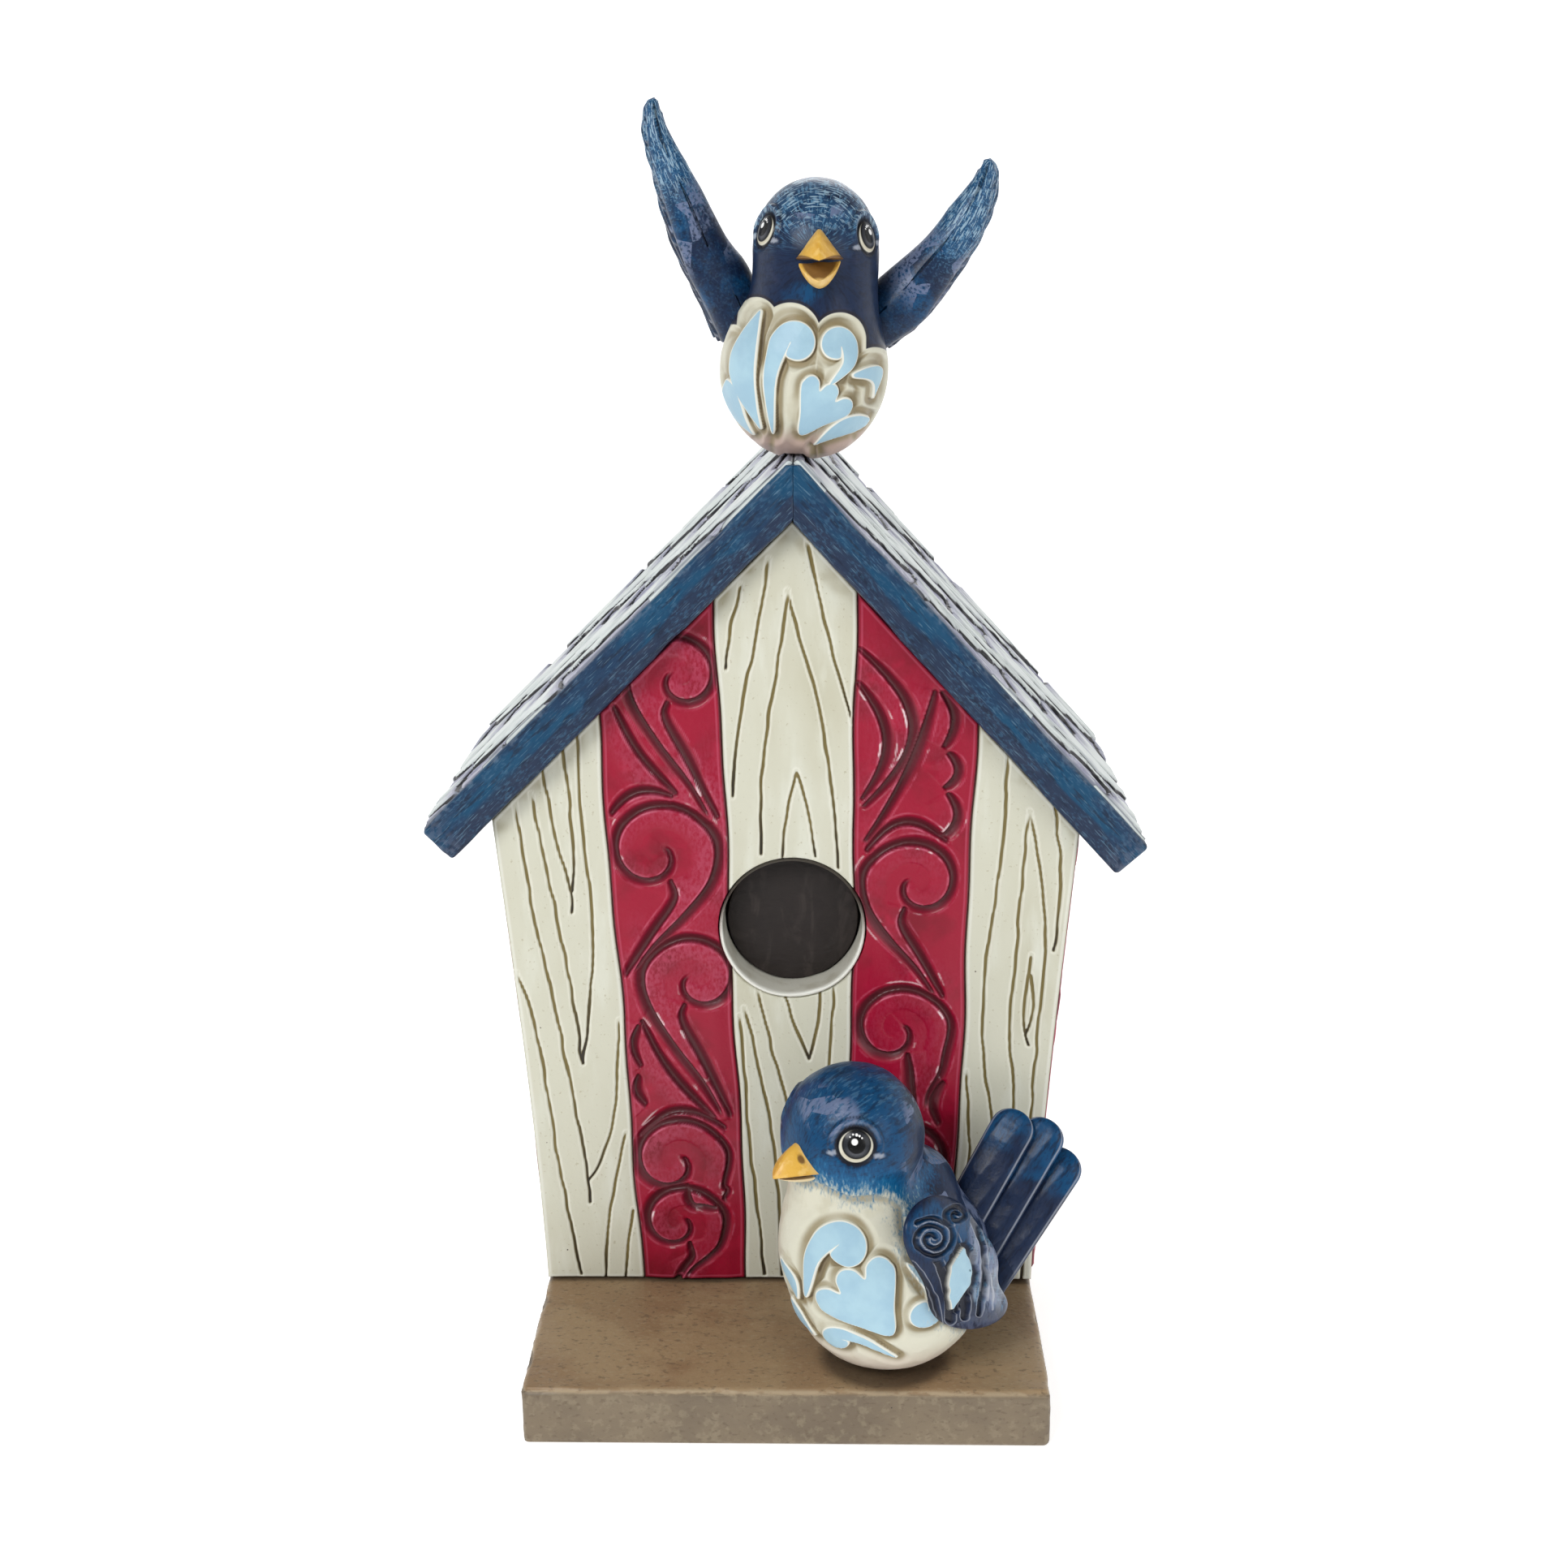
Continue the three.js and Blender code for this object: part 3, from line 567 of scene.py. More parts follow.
def crimson_paint():
    p = Paint("crimson_board_paint", srgb(153, 2, 43), 0.38, 0.12)
    p.over(srgb(126, 2, 32), p.step(p.noise(10, 3, seed=1), 0.45, 0.7))
    p.over(srgb(162, 8, 48), p.step(p.noise(6, 3, seed=4), 0.52, 0.75))
    brushed = p.times(p.step(p.noise(0.55, 5, (1, 1, 1.6), seed=7), 0.3, 0.66), p.field("rub"))
    p.over(srgb(168, 56, 82), p.times(brushed, 0.85))
    p.over(srgb(124, 16, 42), p.times(p.step(p.field("groove"), 0.04, 0.3), 0.8))
    p.over(srgb(98, 30, 42), p.times(p.step(p.field("groove"), 0.25, 0.6), 0.95))
    p.over(srgb(82, 38, 42), p.times(p.step(p.field("groove"), 0.7, 1.0), 0.8))
    # painted highlights on the carved edges: pink lines, and white glints in places
    p.over(srgb(204, 104, 130), p.times(p.field("lip"), p.step(p.noise(2.5, 3, seed=9), 0.36, 0.6), 0.75))
    p.over(srgb(240, 222, 224), p.times(p.field("lip"), p.step(p.noise(5, 2, seed=11), 0.62, 0.68)))
    # painted highlight: a pink line just inside each board's rounded edge
    p.over(srgb(190, 80, 106), p.times(p.band(p.field("edge"), 0.6, 0.95, 0.15), 0.45))
    p.over(srgb(84, 20, 34), p.times(p.step(p.field("edge"), 0.45, 0.15), 0.85))
    p.bump(p.noise(0.6, 4), 0.05)
    return p.done()


def roof_paint():
    p = Paint("roof_navy_paint", srgb(16, 50, 82), 0.42, 0.12)
    grain = p.field("grain")
    p.over(srgb(0, 66, 100), p.step(p.noise(5, 4, (3, 1, 2), grain, 3), 0.42, 0.6))
    p.over(srgb(28, 42, 68), p.times(p.step(p.field("low"), 0.35, 0.75), 0.9))
    p.over(srgb(10, 26, 50), p.times(p.step(p.noise(0.8, 5, (7, 1, 3), grain, 1), 0.54, 0.66), 0.75))
    mottle = p.step(p.noise(0.5, 5, (2.2, 1, 1.5), grain, 16), 0.5, 0.62)
    p.over(srgb(52, 92, 122), p.times(mottle, p.step(p.noise(5, 3, seed=12), 0.4, 0.6), 0.5))
    streak = p.step(p.noise(0.3, 5, (13, 1, 4), grain, 6), 0.6, 0.68)
    p.over(srgb(98, 130, 152), p.times(streak, 0.5))
    fine = p.step(p.noise(0.22, 4, (9, 1, 2), grain, 12), 0.6, 0.68)
    p.over(srgb(76, 110, 136), p.times(fine, 0.45))
    p.over(srgb(92, 102, 122), p.times(p.field("tip"), p.step(p.noise(1.2, 4, seed=3), 0.4, 0.6), 0.5))
    # painted highlight along the top edge of the slab's front face, in patches
    p.over(srgb(112, 130, 152), p.times(p.field("lip"), p.step(p.noise(2, 3, seed=4), 0.52, 0.66), 0.4))
    p.bump(p.noise(0.6, 5, (6, 1, 3), grain, 1), 0.16)
    return p.done()


def carving_paint():
    p = Paint("roof_white_paint", srgb(218, 225, 223), 0.45, 0.15)
    p.over(srgb(196, 203, 205), p.step(p.noise(6, 4, (1, 1, 1)), 0.48, 0.72))
    # the shade field: grey in the hollows between the leaves, and painted shadow just beneath each leaf's end
    p.over(srgb(152, 153, 176), p.times(p.field("shade"), p.step(p.noise(3, 3, seed=2), 0.15, 0.5)))
    brushed = p.step(p.noise(1.2, 4, (1, 4, 1), seed=5), 0.52, 0.66)
    p.over(srgb(192, 194, 208), p.times(p.field("shade"), brushed, 0.8))
    p.over(srgb(34, 33, 38), p.step(p.field("ink"), 0.3, 0.6))
    p.over(srgb(120, 126, 136), p.times(p.step(p.field("edge"), 0.5, 0.1), 0.8))
    p.bump(p.noise(0.9, 4), 0.06)
    return p.done()


def bird_paint(name, soft):
    """Navy feathers, a cream breast with light-blue carved shapes, and shading in the grooves."""
    p = Paint(name, srgb(18, 36, 66), 0.38, 0.08)
    p.shader.inputs["Specular IOR Level"].default_value = 0.22
    knife = p.facets(4.2, 0.16)
    grain = p.field("grain")
    # glow: bluer where high, deeper navy where negative; partly the blue paint's layout, partly painted light
    # on wing and tail tips and painted shade at the tail roots and behind the ledge bird's head
    p.over(srgb(4, 66, 108), p.step(p.plus(p.noise(7, 3, seed=3), p.field("glow")), 0.58, 0.82))
    p.over(srgb(42, 48, 74), p.times(p.step(p.noise(6, 2, seed=6), 0.58, 0.7), 0.2 if soft else 0.5))
    p.over(srgb(10, 20, 42), p.times(p.step(p.noise(1.0, 5, (4, 1, 1), grain, 5), 0.54, 0.66), 0.6))
    along = p.step(p.noise(0.42, 4, (6, 1, 1), grain, 2), 0.52, 0.62)
    across = p.step(p.noise(0.42, 4, (1, 5, 1), grain, 7), 0.52, 0.6)
    p.over(srgb(8, 18, 40), p.times(p.step(p.noise(0.5, 4, (3, 1, 1), grain, 21), 0.5, 0.62), 0.45))
    patches = p.step(p.noise(2.5, 4, seed=13), 0.25, 0.6)
    p.over(srgb(42, 84, 122), p.times(p.step(p.field("rub"), 0.1, 0.9), patches, 0.6))
    p.over(srgb(88, 132, 164), p.times(along, p.step(p.field("rub"), 0.05, 0.7), 0.75))
    p.over(srgb(152, 180, 198), p.times(across, p.step(p.field("rub"), 0.4, 1.0), 0.8))
    # painted highlight: lavender patches on the knife flats, standing in for reflections on the facets
    flats = p.step(p.plus(knife, p.times(p.noise(0.8, 3, seed=9), 0.1)), 0.52, 0.56)
    brushed = p.step(p.noise(0.6, 4, (4, 1, 1), grain, 3), 0.34, 0.54)
    p.over(srgb(112, 124, 154), p.times(flats, p.field("shine"), brushed, 0.75))
    if soft:
        fine = p.times(p.plus(p.noise(0.45, 5, (1, 1, 3), seed=4), -0.5), 9.0)
        broad = p.times(p.plus(p.noise(2.2, 2, (1, 1, 2), seed=14), -0.5), 4.0)
        border = p.plus(p.field("cream"), p.plus(fine, broad))
        cream = p.step(border, -1.4, 3.2)
        p.over(srgb(8, 88, 136), p.times(p.step(border, -5.5, -1.5), 0.85))
        p.over(srgb(60, 128, 158), p.times(p.step(border, -2.6, 0.6), 0.6))
    else:
        cream = p.step(p.field("cream"), -0.08, 0.08)
        p.over(srgb(30, 24, 30), p.times(p.band(p.field("cream"), -0.5, -0.05, 0.15), 0.8))
    p.colour = p.mix(p.colour, srgb(208, 206, 188), cream)
    p.over(srgb(190, 185, 162), p.times(cream, p.step(p.noise(4, 4, seed=7), 0.5, 0.75), 0.6))
    # darker, pinker towards the bottom of the breast
    p.over(srgb(180, 152, 142), p.times(cream, p.field("blush"), 0.85))
    # brown wash in the grooves of the breast, with painted shadow on the lower-right side of each shape
    p.over(srgb(144, 130, 98), p.times(cream, p.step(p.field("wash"), 0.05, 0.6), 0.95))
    p.over(srgb(88, 74, 54), p.times(cream, p.step(p.field("wash"), 0.6, 0.95), 0.85))
    p.over(srgb(228, 228, 218), p.times(p.band(p.field("blue"), -0.06, 0.2, 0.06), cream))
    sky = p.mix(srgb(156, 190, 208), srgb(168, 201, 215), p.step(p.noise(6, 3, seed=8), 0.4, 0.7))
    p.colour = p.mix(p.colour, sky, p.times(p.step(p.field("blue"), -0.02, -0.1), cream))
    p.over(srgb(16, 19, 32), p.field("ink"))
    p.over(srgb(168, 173, 184), p.field("chalk"))
    p.bump(p.noise(0.7, 4), 0.06)
    return p.done()


def plinth_paint():
    p = Paint("plinth_taupe_paint", srgb(124, 110, 90), 0.5, 0.1)
    p.over(srgb(110, 97, 80), p.step(p.noise(14, 4, (1.6, 1, 1)), 0.4, 0.65))
    p.over(srgb(140, 128, 106), p.times(p.step(p.noise(1.6, 6, seed=3), 0.5, 0.66), 0.5))
    p.over(srgb(168, 141, 105), p.times(p.field("top"), 0.75))
    p.over(srgb(140, 112, 82), p.times(p.field("top"), p.step(p.noise(18, 3, seed=4), 0.45, 0.6), 0.6))
    sanded = p.step(p.noise(0.7, 6, (1.6, 1, 1), seed=6), 0.54, 0.66)
    p.over(srgb(168, 150, 120), p.times(sanded, p.field("top"), 0.4))
    p.over(srgb(92, 78, 62), p.times(p.step(p.noise(0.8, 6, (1.5, 1, 1), seed=9), 0.55, 0.68), 0.5))
    worn = p.step(p.noise(1.2, 4, (3, 1, 1), seed=2), 0.4, 0.55)
    p.over(srgb(168, 150, 122), p.times(p.field("lip"), worn, 0.85))
    # painted shadow on the plinth's top around the foot of the house and under the ledge bird
    p.over(srgb(52, 42, 34), p.times(p.field("contact_shadow"), 0.75))
    p.over(srgb(40, 33, 28), p.step(p.noise(1.4, 1, seed=12), 0.82, 0.86))
    p.bump(p.noise(1.2, 6), 0.14)
    return p.done()


def beak_paint():
    p = Paint("beak_yellow_paint", srgb(228, 178, 72), 0.38, 0.2)
    p.over(srgb(206, 146, 48), p.times(p.step(p.noise(2.6, 4), 0.48, 0.7), 0.7))
    p.over(srgb(238, 198, 112), p.times(p.step(p.noise(1.6, 4, seed=4), 0.5, 0.7), 0.8))
    p.over(srgb(224, 216, 186), p.times(p.field("pale"), 0.92))
    p.over(srgb(120, 82, 42), p.times(p.field("wash"), 0.9))
    # dark brown: the nostrils, and painted shade deep in the open mouth
    p.over(srgb(52, 34, 24), p.times(p.step(p.field("ink"), 0.3, 0.9), 0.7))
    p.bump(p.noise(0.6, 4), 0.05)
    return p.done()


def sleeve_paint():
    p = Paint("entrance_rim_paint", srgb(218, 216, 203), 0.42, 0.2)
    p.over(srgb(180, 173, 152), p.times(p.step(p.noise(4, 4), 0.46, 0.7), 0.5))
    # painted highlight on the sleeve's front lip, except at the top
    p.over(srgb(236, 236, 227), p.times(p.field("lip"), 0.9))
    # painted shade deep in the bore and along its top
    p.over(srgb(54, 46, 40), p.times(p.field("wash"), 0.95))
    p.bump(p.noise(0.8, 4), 0.08)
    return p.done()


def hollow_paint():
    p = Paint("entrance_dark_paint", srgb(40, 34, 32), 0.55, 0.0)
    p.over(srgb(58, 50, 48), p.times(p.step(p.noise(5, 5, (1, 1, 2.4), bend=1.2), 0.5, 0.66), 0.7))
    p.over(srgb(36, 30, 29), p.times(p.step(p.noise(3, 5, seed=5), 0.52, 0.7), 0.7))
    p.over(srgb(128, 122, 118), p.step(p.noise(0.9, 3, (2, 1, 1), seed=8), 0.75, 0.8))
    p.bump(p.noise(2.4, 5, (2, 1, 1), bend=1.0), 0.25)
    return p.done()


def casting_paint():
    p = Paint("bare_casting", srgb(201, 195, 182), 0.75, 0.0)
    p.over(srgb(184, 176, 160), p.step(p.noise(9, 4), 0.45, 0.7))
    p.over(srgb(150, 144, 130), p.step(p.noise(0.9, 2, seed=3), 0.72, 0.78))
    p.bump(p.noise(0.5, 4), 0.06)
    return p.done()


def steel_finish():
    p = Paint("pin_steel_finish", srgb(154, 157, 160), 0.35, 0.0)
    p.shader.inputs["Metallic"].default_value = 1.0
    p.over(srgb(128, 130, 134), p.step(p.noise(0.4, 3, (1, 1, 14)), 0.42, 0.66))
    p.bump(p.noise(0.2, 2, (1, 1, 20)), 0.02)
    return p.done()


def eye_paint():
    """The eye's rings and glints are painted on its points; this adds gloss and faint brushwork."""
    p = Paint("eye_gloss_paint", srgb(30, 30, 34), 0.3, 0.2)
    node = p.nodes.new("ShaderNodeAttribute")
    node.attribute_name = "hue"
    p.colour = node.outputs["Color"]
    p.over(srgb(120, 116, 108), p.times(p.step(p.noise(0.3, 4), 0.6, 0.7), 0.12))
    p.shader.inputs["Specular IOR Level"].default_value = 0.15
    return p.done(1.0, 0.05)


CREAM = cream_paint()
CRIMSON = crimson_paint()
NAVY_ROOF = roof_paint()
WHITE_ROOF = carving_paint()
ROOF_BIRD_PAINT = bird_paint("ridge_bird_paint", soft=False)
BASE_BIRD_PAINT = bird_paint("ledge_bird_paint", soft=True)
BASE_WING_PAINT = bird_paint("ledge_bird_wing_paint", soft=False)
TAUPE = plinth_paint()
YELLOW = beak_paint()
RIM = sleeve_paint()
HOLLOW = hollow_paint()
CASTING = casting_paint()
STEEL = steel_finish()
EYE = eye_paint()


# ---------- outlines of the house ----------
def wall_half(height):
    rise = np.maximum(np.asarray(height, float) - 12.0, 0) / WALL["rise"]
    return WALL["half"] + WALL["flare"] * rise ** WALL["power"]


def roof_height(x, depth):
    """Height of the roof's outer planes above x, lowered by depth measured square to each slope."""
    left = ROOF["ridge"] + (x - RIDGE["left"]) * math.tan(PITCH["left"]) - depth / math.cos(PITCH["left"])
    right = ROOF["ridge"] - (x - RIDGE["right"]) * math.tan(PITCH["right"]) - depth / math.cos(PITCH["right"])
    return np.minimum(left, right)


def joint_line(foot, top, offset=0.0):
    """The line between two boards, a little uneven as if cut by hand."""
    def at(height):
        h = np.asarray(height, float)
        wave = 0.28 * np.sin(h / 11.0 + foot) + 0.16 * np.sin(h / 4.3 + 2 * foot)
        return foot + (top - foot) * (h - 12.0) / (ROOF["ridge"] - 12.0) + wave + offset
    return at


def board_top(x):
    return roof_height(np.asarray(x, float), ROOF["thickness"] + GAP)


# ---------- front boards ----------
GRAIN = {
    "left": [
        [(-52.5, 115), (-50, 95), (-47, 77), (-44, 58), (-42, 43), (-40.9, 35), (-40.8, 29.6)],
        [(-33.6, 70), (-34.3, 58), (-35.5, 47), (-38.6, 38), (-40.8, 34.5)],
        [(-49.3, 117), (-46.9, 102), (-44, 85), (-42, 69), (-41.2, 60.6)],
        [(-40, 137), (-39.6, 112), (-38.2, 94), (-38.7, 78.6), (-40.2, 66), (-41.2, 61)],
        [(-47, 124), (-45, 109), (-43.2, 101.4), (-42.1, 96.5), (-42.1, 92.5)],
        [(-43.5, 130), (-42, 117), (-41.3, 106), (-41.8, 97)],
        [(-53.6, 80), (-50.8, 71), (-48.2, 52), (-46.6, 37), (-43, 12.9)],
        [(-32.9, 45.4), (-35.5, 34), (-37.5, 22), (-37.9, 12.3)],
        [(-31.8, 28), (-33.2, 20), (-33.9, 12.3)],
    ],
    "centre": [
        [(-8.1, 157.6), (-10.2, 149), (-11.1, 141.6)],
        [(-2.8, 162.4), (-5.5, 147), (-9, 129.5), (-10.2, 116.3)],
        [(0.6, 156.3), (-1.3, 142.6), (-4.4, 121.6), (-4.8, 104.7)],
        [(0.6, 156.3), (2.5, 148.5), (6.4, 135.3), (8.6, 120), (10.3, 101.6)],
        [(4.5, 165.8), (7.2, 152), (12.9, 131)],
        [(2, 121.4), (0, 112), (-0.6, 104)],
        [(2, 121.4), (4.4, 113), (5.8, 104)],
        [(-0.5, 75.3), (1.6, 68.5), (4.2, 61.6)],
        [(6.6, 76.3), (5.8, 68), (4.2, 61.6)],
        [(9.5, 77.9), (8.9, 70), (7.5, 45), (8.5, 13)],
        [(-5.8, 76.3), (-3.5, 66), (0.1, 50), (3, 30)],
        [(-8.6, 72.6), (-5.8, 60), (-3.4, 45.8), (-2, 28.9), (-1.5, 13)],
        [(-9.5, 71), (-8.6, 58.4), (-7.8, 42.6), (-6.2, 27), (-5.1, 13.2)],
    ],
    "right": [
        [(42.6, 126), (42.3, 113), (40.7, 94.3), (38.9, 77), (39.2, 60.7), (41, 48), (41.5, 12.5)],
        [(47, 113.4), (46.1, 103), (45.2, 85), (44.1, 68), (45.4, 50.4), (45, 12.5)],
        [(47, 113.4), (48.9, 103.6), (50.8, 88), (50.2, 74), (48.9, 49), (48, 12.5)],
        [(51.8, 115), (53.4, 101), (53, 88.6), (52.4, 84.6)],
        [(48.1, 83.9), (47, 74), (47.1, 68.6), (48, 64.6)],
        [(48, 80), (48.7, 74), (48.5, 70), (47.4, 66.8)],
        [(35.6, 59.3), (36.1, 53.6), (36.6, 41.4), (36, 25), (36.5, 12.5)],
    ],
}
SCROLLS = {
    "left": [
        (-19.8, 139.5, 10.0, 1, (-14.8, 112.5)), (-25.6, 104.5, 12.0, -1, (-30.3, 80.0)),
        (-17.6, 78.0, 10.8, 1, (-13.2, 49.5)), (-23.4, 38.6, 11.2, -1, (-12.6, 29.5)),
        (-22.8, 24.8, 9.6, -1, (-21.5, 12.4)),
    ],
    "right": [
        (25.8, 98.2, 10.6, 1, (29.2, 75.5)), (21.4, 67.4, 10.8, -1, (27.6, 51.0)),
        (25.0, 38.5, 10.2, 1, (27.8, 15.0)), (21.0, 20.5, 7.0, -1, (20.5, 12.4)),
    ],
}
STROKES = {
    "left": [
        (-33.0, 134.5, -20.8, 116.5, -1.6), (-33.8, 112.5, -21.5, 116.2, 2.6),
        (-29.3, 70.0, -14.4, 48.0, -2.0), (-29.6, 69.0, -29.4, 59.5, -1.8),
        (-30.0, 58.0, -28.6, 51.0, -1.7), (-30.2, 44.0, -12.4, 46.0, 4.6),
    ],
    "right": [
        (13.8, 145.5, 14.6, 114.0, 9.6), (13.6, 139.0, 14.4, 115.5, 4.8), (28.5, 137.5, 15.0, 107.0, 1.4),
        (29.6, 137.0, 30.0, 126.0, 2.0), (31.0, 125.0, 30.2, 118.0, 2.0), (31.0, 117.0, 29.8, 108.0, 2.2),
        (15.6, 105.0, 31.4, 107.0, 4.8), (31.2, 57.0, 30.4, 47.0, -2.2),
    ],
}


def scroll(x, z, size, hand, tail):
    """The two lines of a scroll: out from its eye and down a stem to its tail, and the stem's inner side.

    The stem leaves on the left of the eye where hand is 1, on the right where it is -1. Each line runs
    so that the scroll's body is on its right.
    """
    side = -hand
    t = np.linspace(0, 1, 14)
    turn = np.radians(40 - 390 * t)
    reach = size * (0.2 + 0.8 * t**1.3)
    spiral = np.column_stack([x + side * reach * np.cos(turn), z + reach * np.sin(turn)])
    shoulder = np.array([x + side * 0.9 * size, z - 0.42 * size])
    tail = np.array(tail, float)
    bends = [(0.35, 0.04), (0.7, -0.04)]
    stem = [shoulder + (tail - shoulder) * share + [side * bow * size, 0] for share, bow in bends]
    outer = np.vstack([spiral, shoulder, *stem, tail])
    start = np.array([x + side * 0.26 * size, z - 0.40 * size])
    neck = np.array([x + side * 0.34 * size, z - 0.78 * size])
    end = tail - [side * 1.7, 1.0]
    inner = np.vstack([start, neck, neck + (end - neck) * 0.45, end])
    return (outer[::-1], inner) if hand > 0 else (outer, inner[::-1])


def stroke(x, z, to_x, to_z, bow):
    """A bowed line between two points, bent to its left where bow is positive."""
    t = np.linspace(0, 1, 7)[:, None]
    start, step = np.array([x, z]), np.array([to_x - x, to_z - z])
    return start + step * t + unit([-step[1], step[0]]) * bow * np.sin(math.pi * t)


def scroll_lines(scrolls, strokes):
    lines = [line for values in scrolls for line in scroll(*values)]
    return lines + [stroke(*values) for values in strokes]


def grain_relief(lines, seed):
    """Fine carved wood grain: narrow lines, inked darker towards their lower ends."""
    def relief(flat, side):
        out = 0.35 * noise(flat, 26, seed) + 0.12 * noise(flat * [1, 0.4], 5, seed + 1)
        groove = np.zeros(len(flat))
        ink = np.zeros(len(flat))
        lip = np.zeros(len(flat))
        wander = flat + 0.22 * np.column_stack([noise(flat, 3.5, seed + 2), noise(flat, 3.5, seed + 3)])
        for line in lines:
            distance, _, along = to_line(wander, curve(line), 1.6)
            width = 0.25 + 0.1 * noise(flat, 6, seed + 4)
            carve = smooth(distance, width + 0.16, width * 0.25) * smooth(along, -0.01, 0.05)
            ink = np.where(carve > groove, smooth(along, 0.6, 1.0) * 0.95, ink)
            groove = np.maximum(groove, carve)
            # lip: painted highlight along both rims of each grain line
            lip = np.maximum(lip, smooth(distance, 0.85, 0.6) * smooth(distance, 0.36, 0.5))
        groove *= smooth(side, 0.15, 0.7)
        out -= 0.5 * groove
        # painted shade below the roof: darker towards the board's top, in blotches
        top = board_top(flat[:, 0]) - flat[:, 1]
        stain = smooth(top + 2.2 * noise(flat, 4, seed + 6), 6.0, 0.5)
        stain *= 0.5 + 0.5 * noise(flat, 2.2, seed + 7)
        return out, {"groove": groove, "ink": ink, "lip": lip, "stain": np.clip(stain, 0, 1)}
    return relief


def scroll_relief(lines, seed, worn=1.0):
    """Chip-carved scrollwork: each line is steep on one side and slopes up softly on the other."""
    def relief(flat, side):
        out = 0.25 * noise(flat, 18, seed)
        groove = np.zeros(len(flat))
        lip = np.zeros(len(flat))
        rub = np.zeros(len(flat))
        for line in lines:
            distance, hand, along = to_line(flat, curve(line, per_span=5), 5.5)
            swell = 0.3 + 0.7 * np.sqrt(np.clip(np.sin(math.pi * np.clip(along, 0, 1)), 0, 1))
            width = (2.3 + 0.5 * noise(flat, 9, seed + 1)) * swell
            gentle = smooth(distance, width, 0.25)
            steep = smooth(distance, 0.42, 0.1)
            outside = hand > 0
            fade = smooth(along, -0.01, 0.02) * smooth(along, 1.01, 0.97)
            carve = np.where(outside, gentle, steep) * (0.5 + 0.5 * swell) * fade
            groove = np.maximum(groove, carve)
            # lip: painted highlight along the steep edge of each cut, and a faint one where the gentle slope
            # ends
            sharp = np.where(outside, 0, smooth(distance, 0.85, 0.6) * smooth(distance, 0.3, 0.5))
            faint = np.where(outside, smooth(np.abs(distance - width), 0.24, 0.06) * 0.5, 0)
            lip = np.maximum(lip, np.maximum(sharp, faint) * swell * fade)
            rub = np.maximum(rub, np.where(outside, 0, smooth(distance, 5.4, 2.0)) * fade)
        lip *= smooth(groove, 0.5, 0.15)
        plump = smooth(side, 0.5, 4.0) * 0.35
        out += plump - 1.25 * groove + 0.25 * rub
        rub = np.clip(0.75 * rub + 0.6 * noise(flat, 13, seed + 3) + 0.2 * noise(flat, 5, seed + 4), 0, 1)
        return out, {"groove": groove, "lip": lip, "rub": worn * rub * smooth(groove, 0.5, 0.05)}
    return relief


def front_place(across, height, out):
    return np.column_stack([across, WALL["front"] - out, height])


def board_look(name, nodes, crimson):
    return {
        "name": name,
        "nodes": nodes,
        "slot": "board_crimson" if crimson else "board_cream",
        "paint": CRIMSON if crimson else CREAM,
    }


def front_boards():
    half_gap = JOINT_GAP / 2
    wall_inset = 0.05
    lefts = [lambda h: -wall_half(h) + wall_inset] + [joint_line(*joint, half_gap) for joint in JOINTS]
    rights = [joint_line(*joint, -half_gap) for joint in JOINTS] + [lambda h: wall_half(h) - wall_inset]
    entrance_hole = (ENTRANCE["x"], ENTRANCE["z"], ENTRANCE["sleeve"] + GAP)

    def carved(hand, seed, worn):
        return scroll_relief(scroll_lines(SCROLLS[hand], STROKES[hand]), seed, worn)

    plans = [
        ("cream_left", ["cream_left"], grain_relief(GRAIN["left"], 10), 0.3),
        ("crimson_left", ["crimson_left"], carved("left", 20, 1.0), 0.25),
        ("cream_centre", ["cream_upper", "cream_lower"], grain_relief(GRAIN["centre"], 30), 0.28),
        ("crimson_right", ["crimson_right"], carved("right", 40, 0.4), 0.25),
        ("cream_right", ["cream_right"], grain_relief(GRAIN["right"], 50), 0.3),
    ]
    for (name, nodes, relief, cell), *edges in zip(plans, lefts, rights):
        look = board_look(f"wall_front_{name}", [f"front_board_{node}" for node in nodes], "crimson" in name)
        hole = None if name in ("cream_left", "cream_right") else entrance_hole
        panel(look, edges, (FOOT, board_top), front_place, cell, relief, hole)


# ---------- side and back boards ----------
def plain_grain(width, height, seed):
    """A few long grain lines for a board that faces away."""
    draw = np.random.default_rng(seed)
    lines = []
    for start in np.linspace(-width / 2 + 3, width / 2 - 3, 4):
        knots = np.linspace(height - draw.uniform(4, 16), FOOT + draw.uniform(0, 10), 6)
        lines.append([(start + draw.uniform(-1.6, 1.6), z) for z in knots])
    return lines


def plain_scrolls(width, height, seed):
    """Scrolls one below another on a board that faces away, in turn to the left and to the right."""
    size = 0.45 * width
    hand = 1 if seed % 2 else -1
    scrolls, strokes = [], []
    z = height - 0.9 * size
    while z > FOOT + size:
        foot = max(z - 2.2 * size, FOOT)
        scrolls.append((hand * 0.1 * width, z, size, hand, (hand * 0.3 * width, foot)))
        strokes.append((-hand * 0.4 * width, z - 0.8 * size, hand * 0.1 * width, foot + 2, -hand * 1.8))
        z -= 2.15 * size
        hand = -hand
    return scroll_lines(scrolls, strokes)


def shifted(relief, shift):
    """The relief of a board whose own middle is at that across coordinate."""
    def moved(flat, side):
        return relief(flat - [shift, 0], side)
    return moved


def plain_relief(crimson, width, height, middle, seed):
    """Scrolls on a crimson board and grain on a cream one, on the sides and the back."""
    if crimson:
        relief = scroll_relief(plain_scrolls(width, height, seed), seed)
    else:
        relief = grain_relief(plain_grain(width, height, seed), seed)
    return shifted(relief, middle)


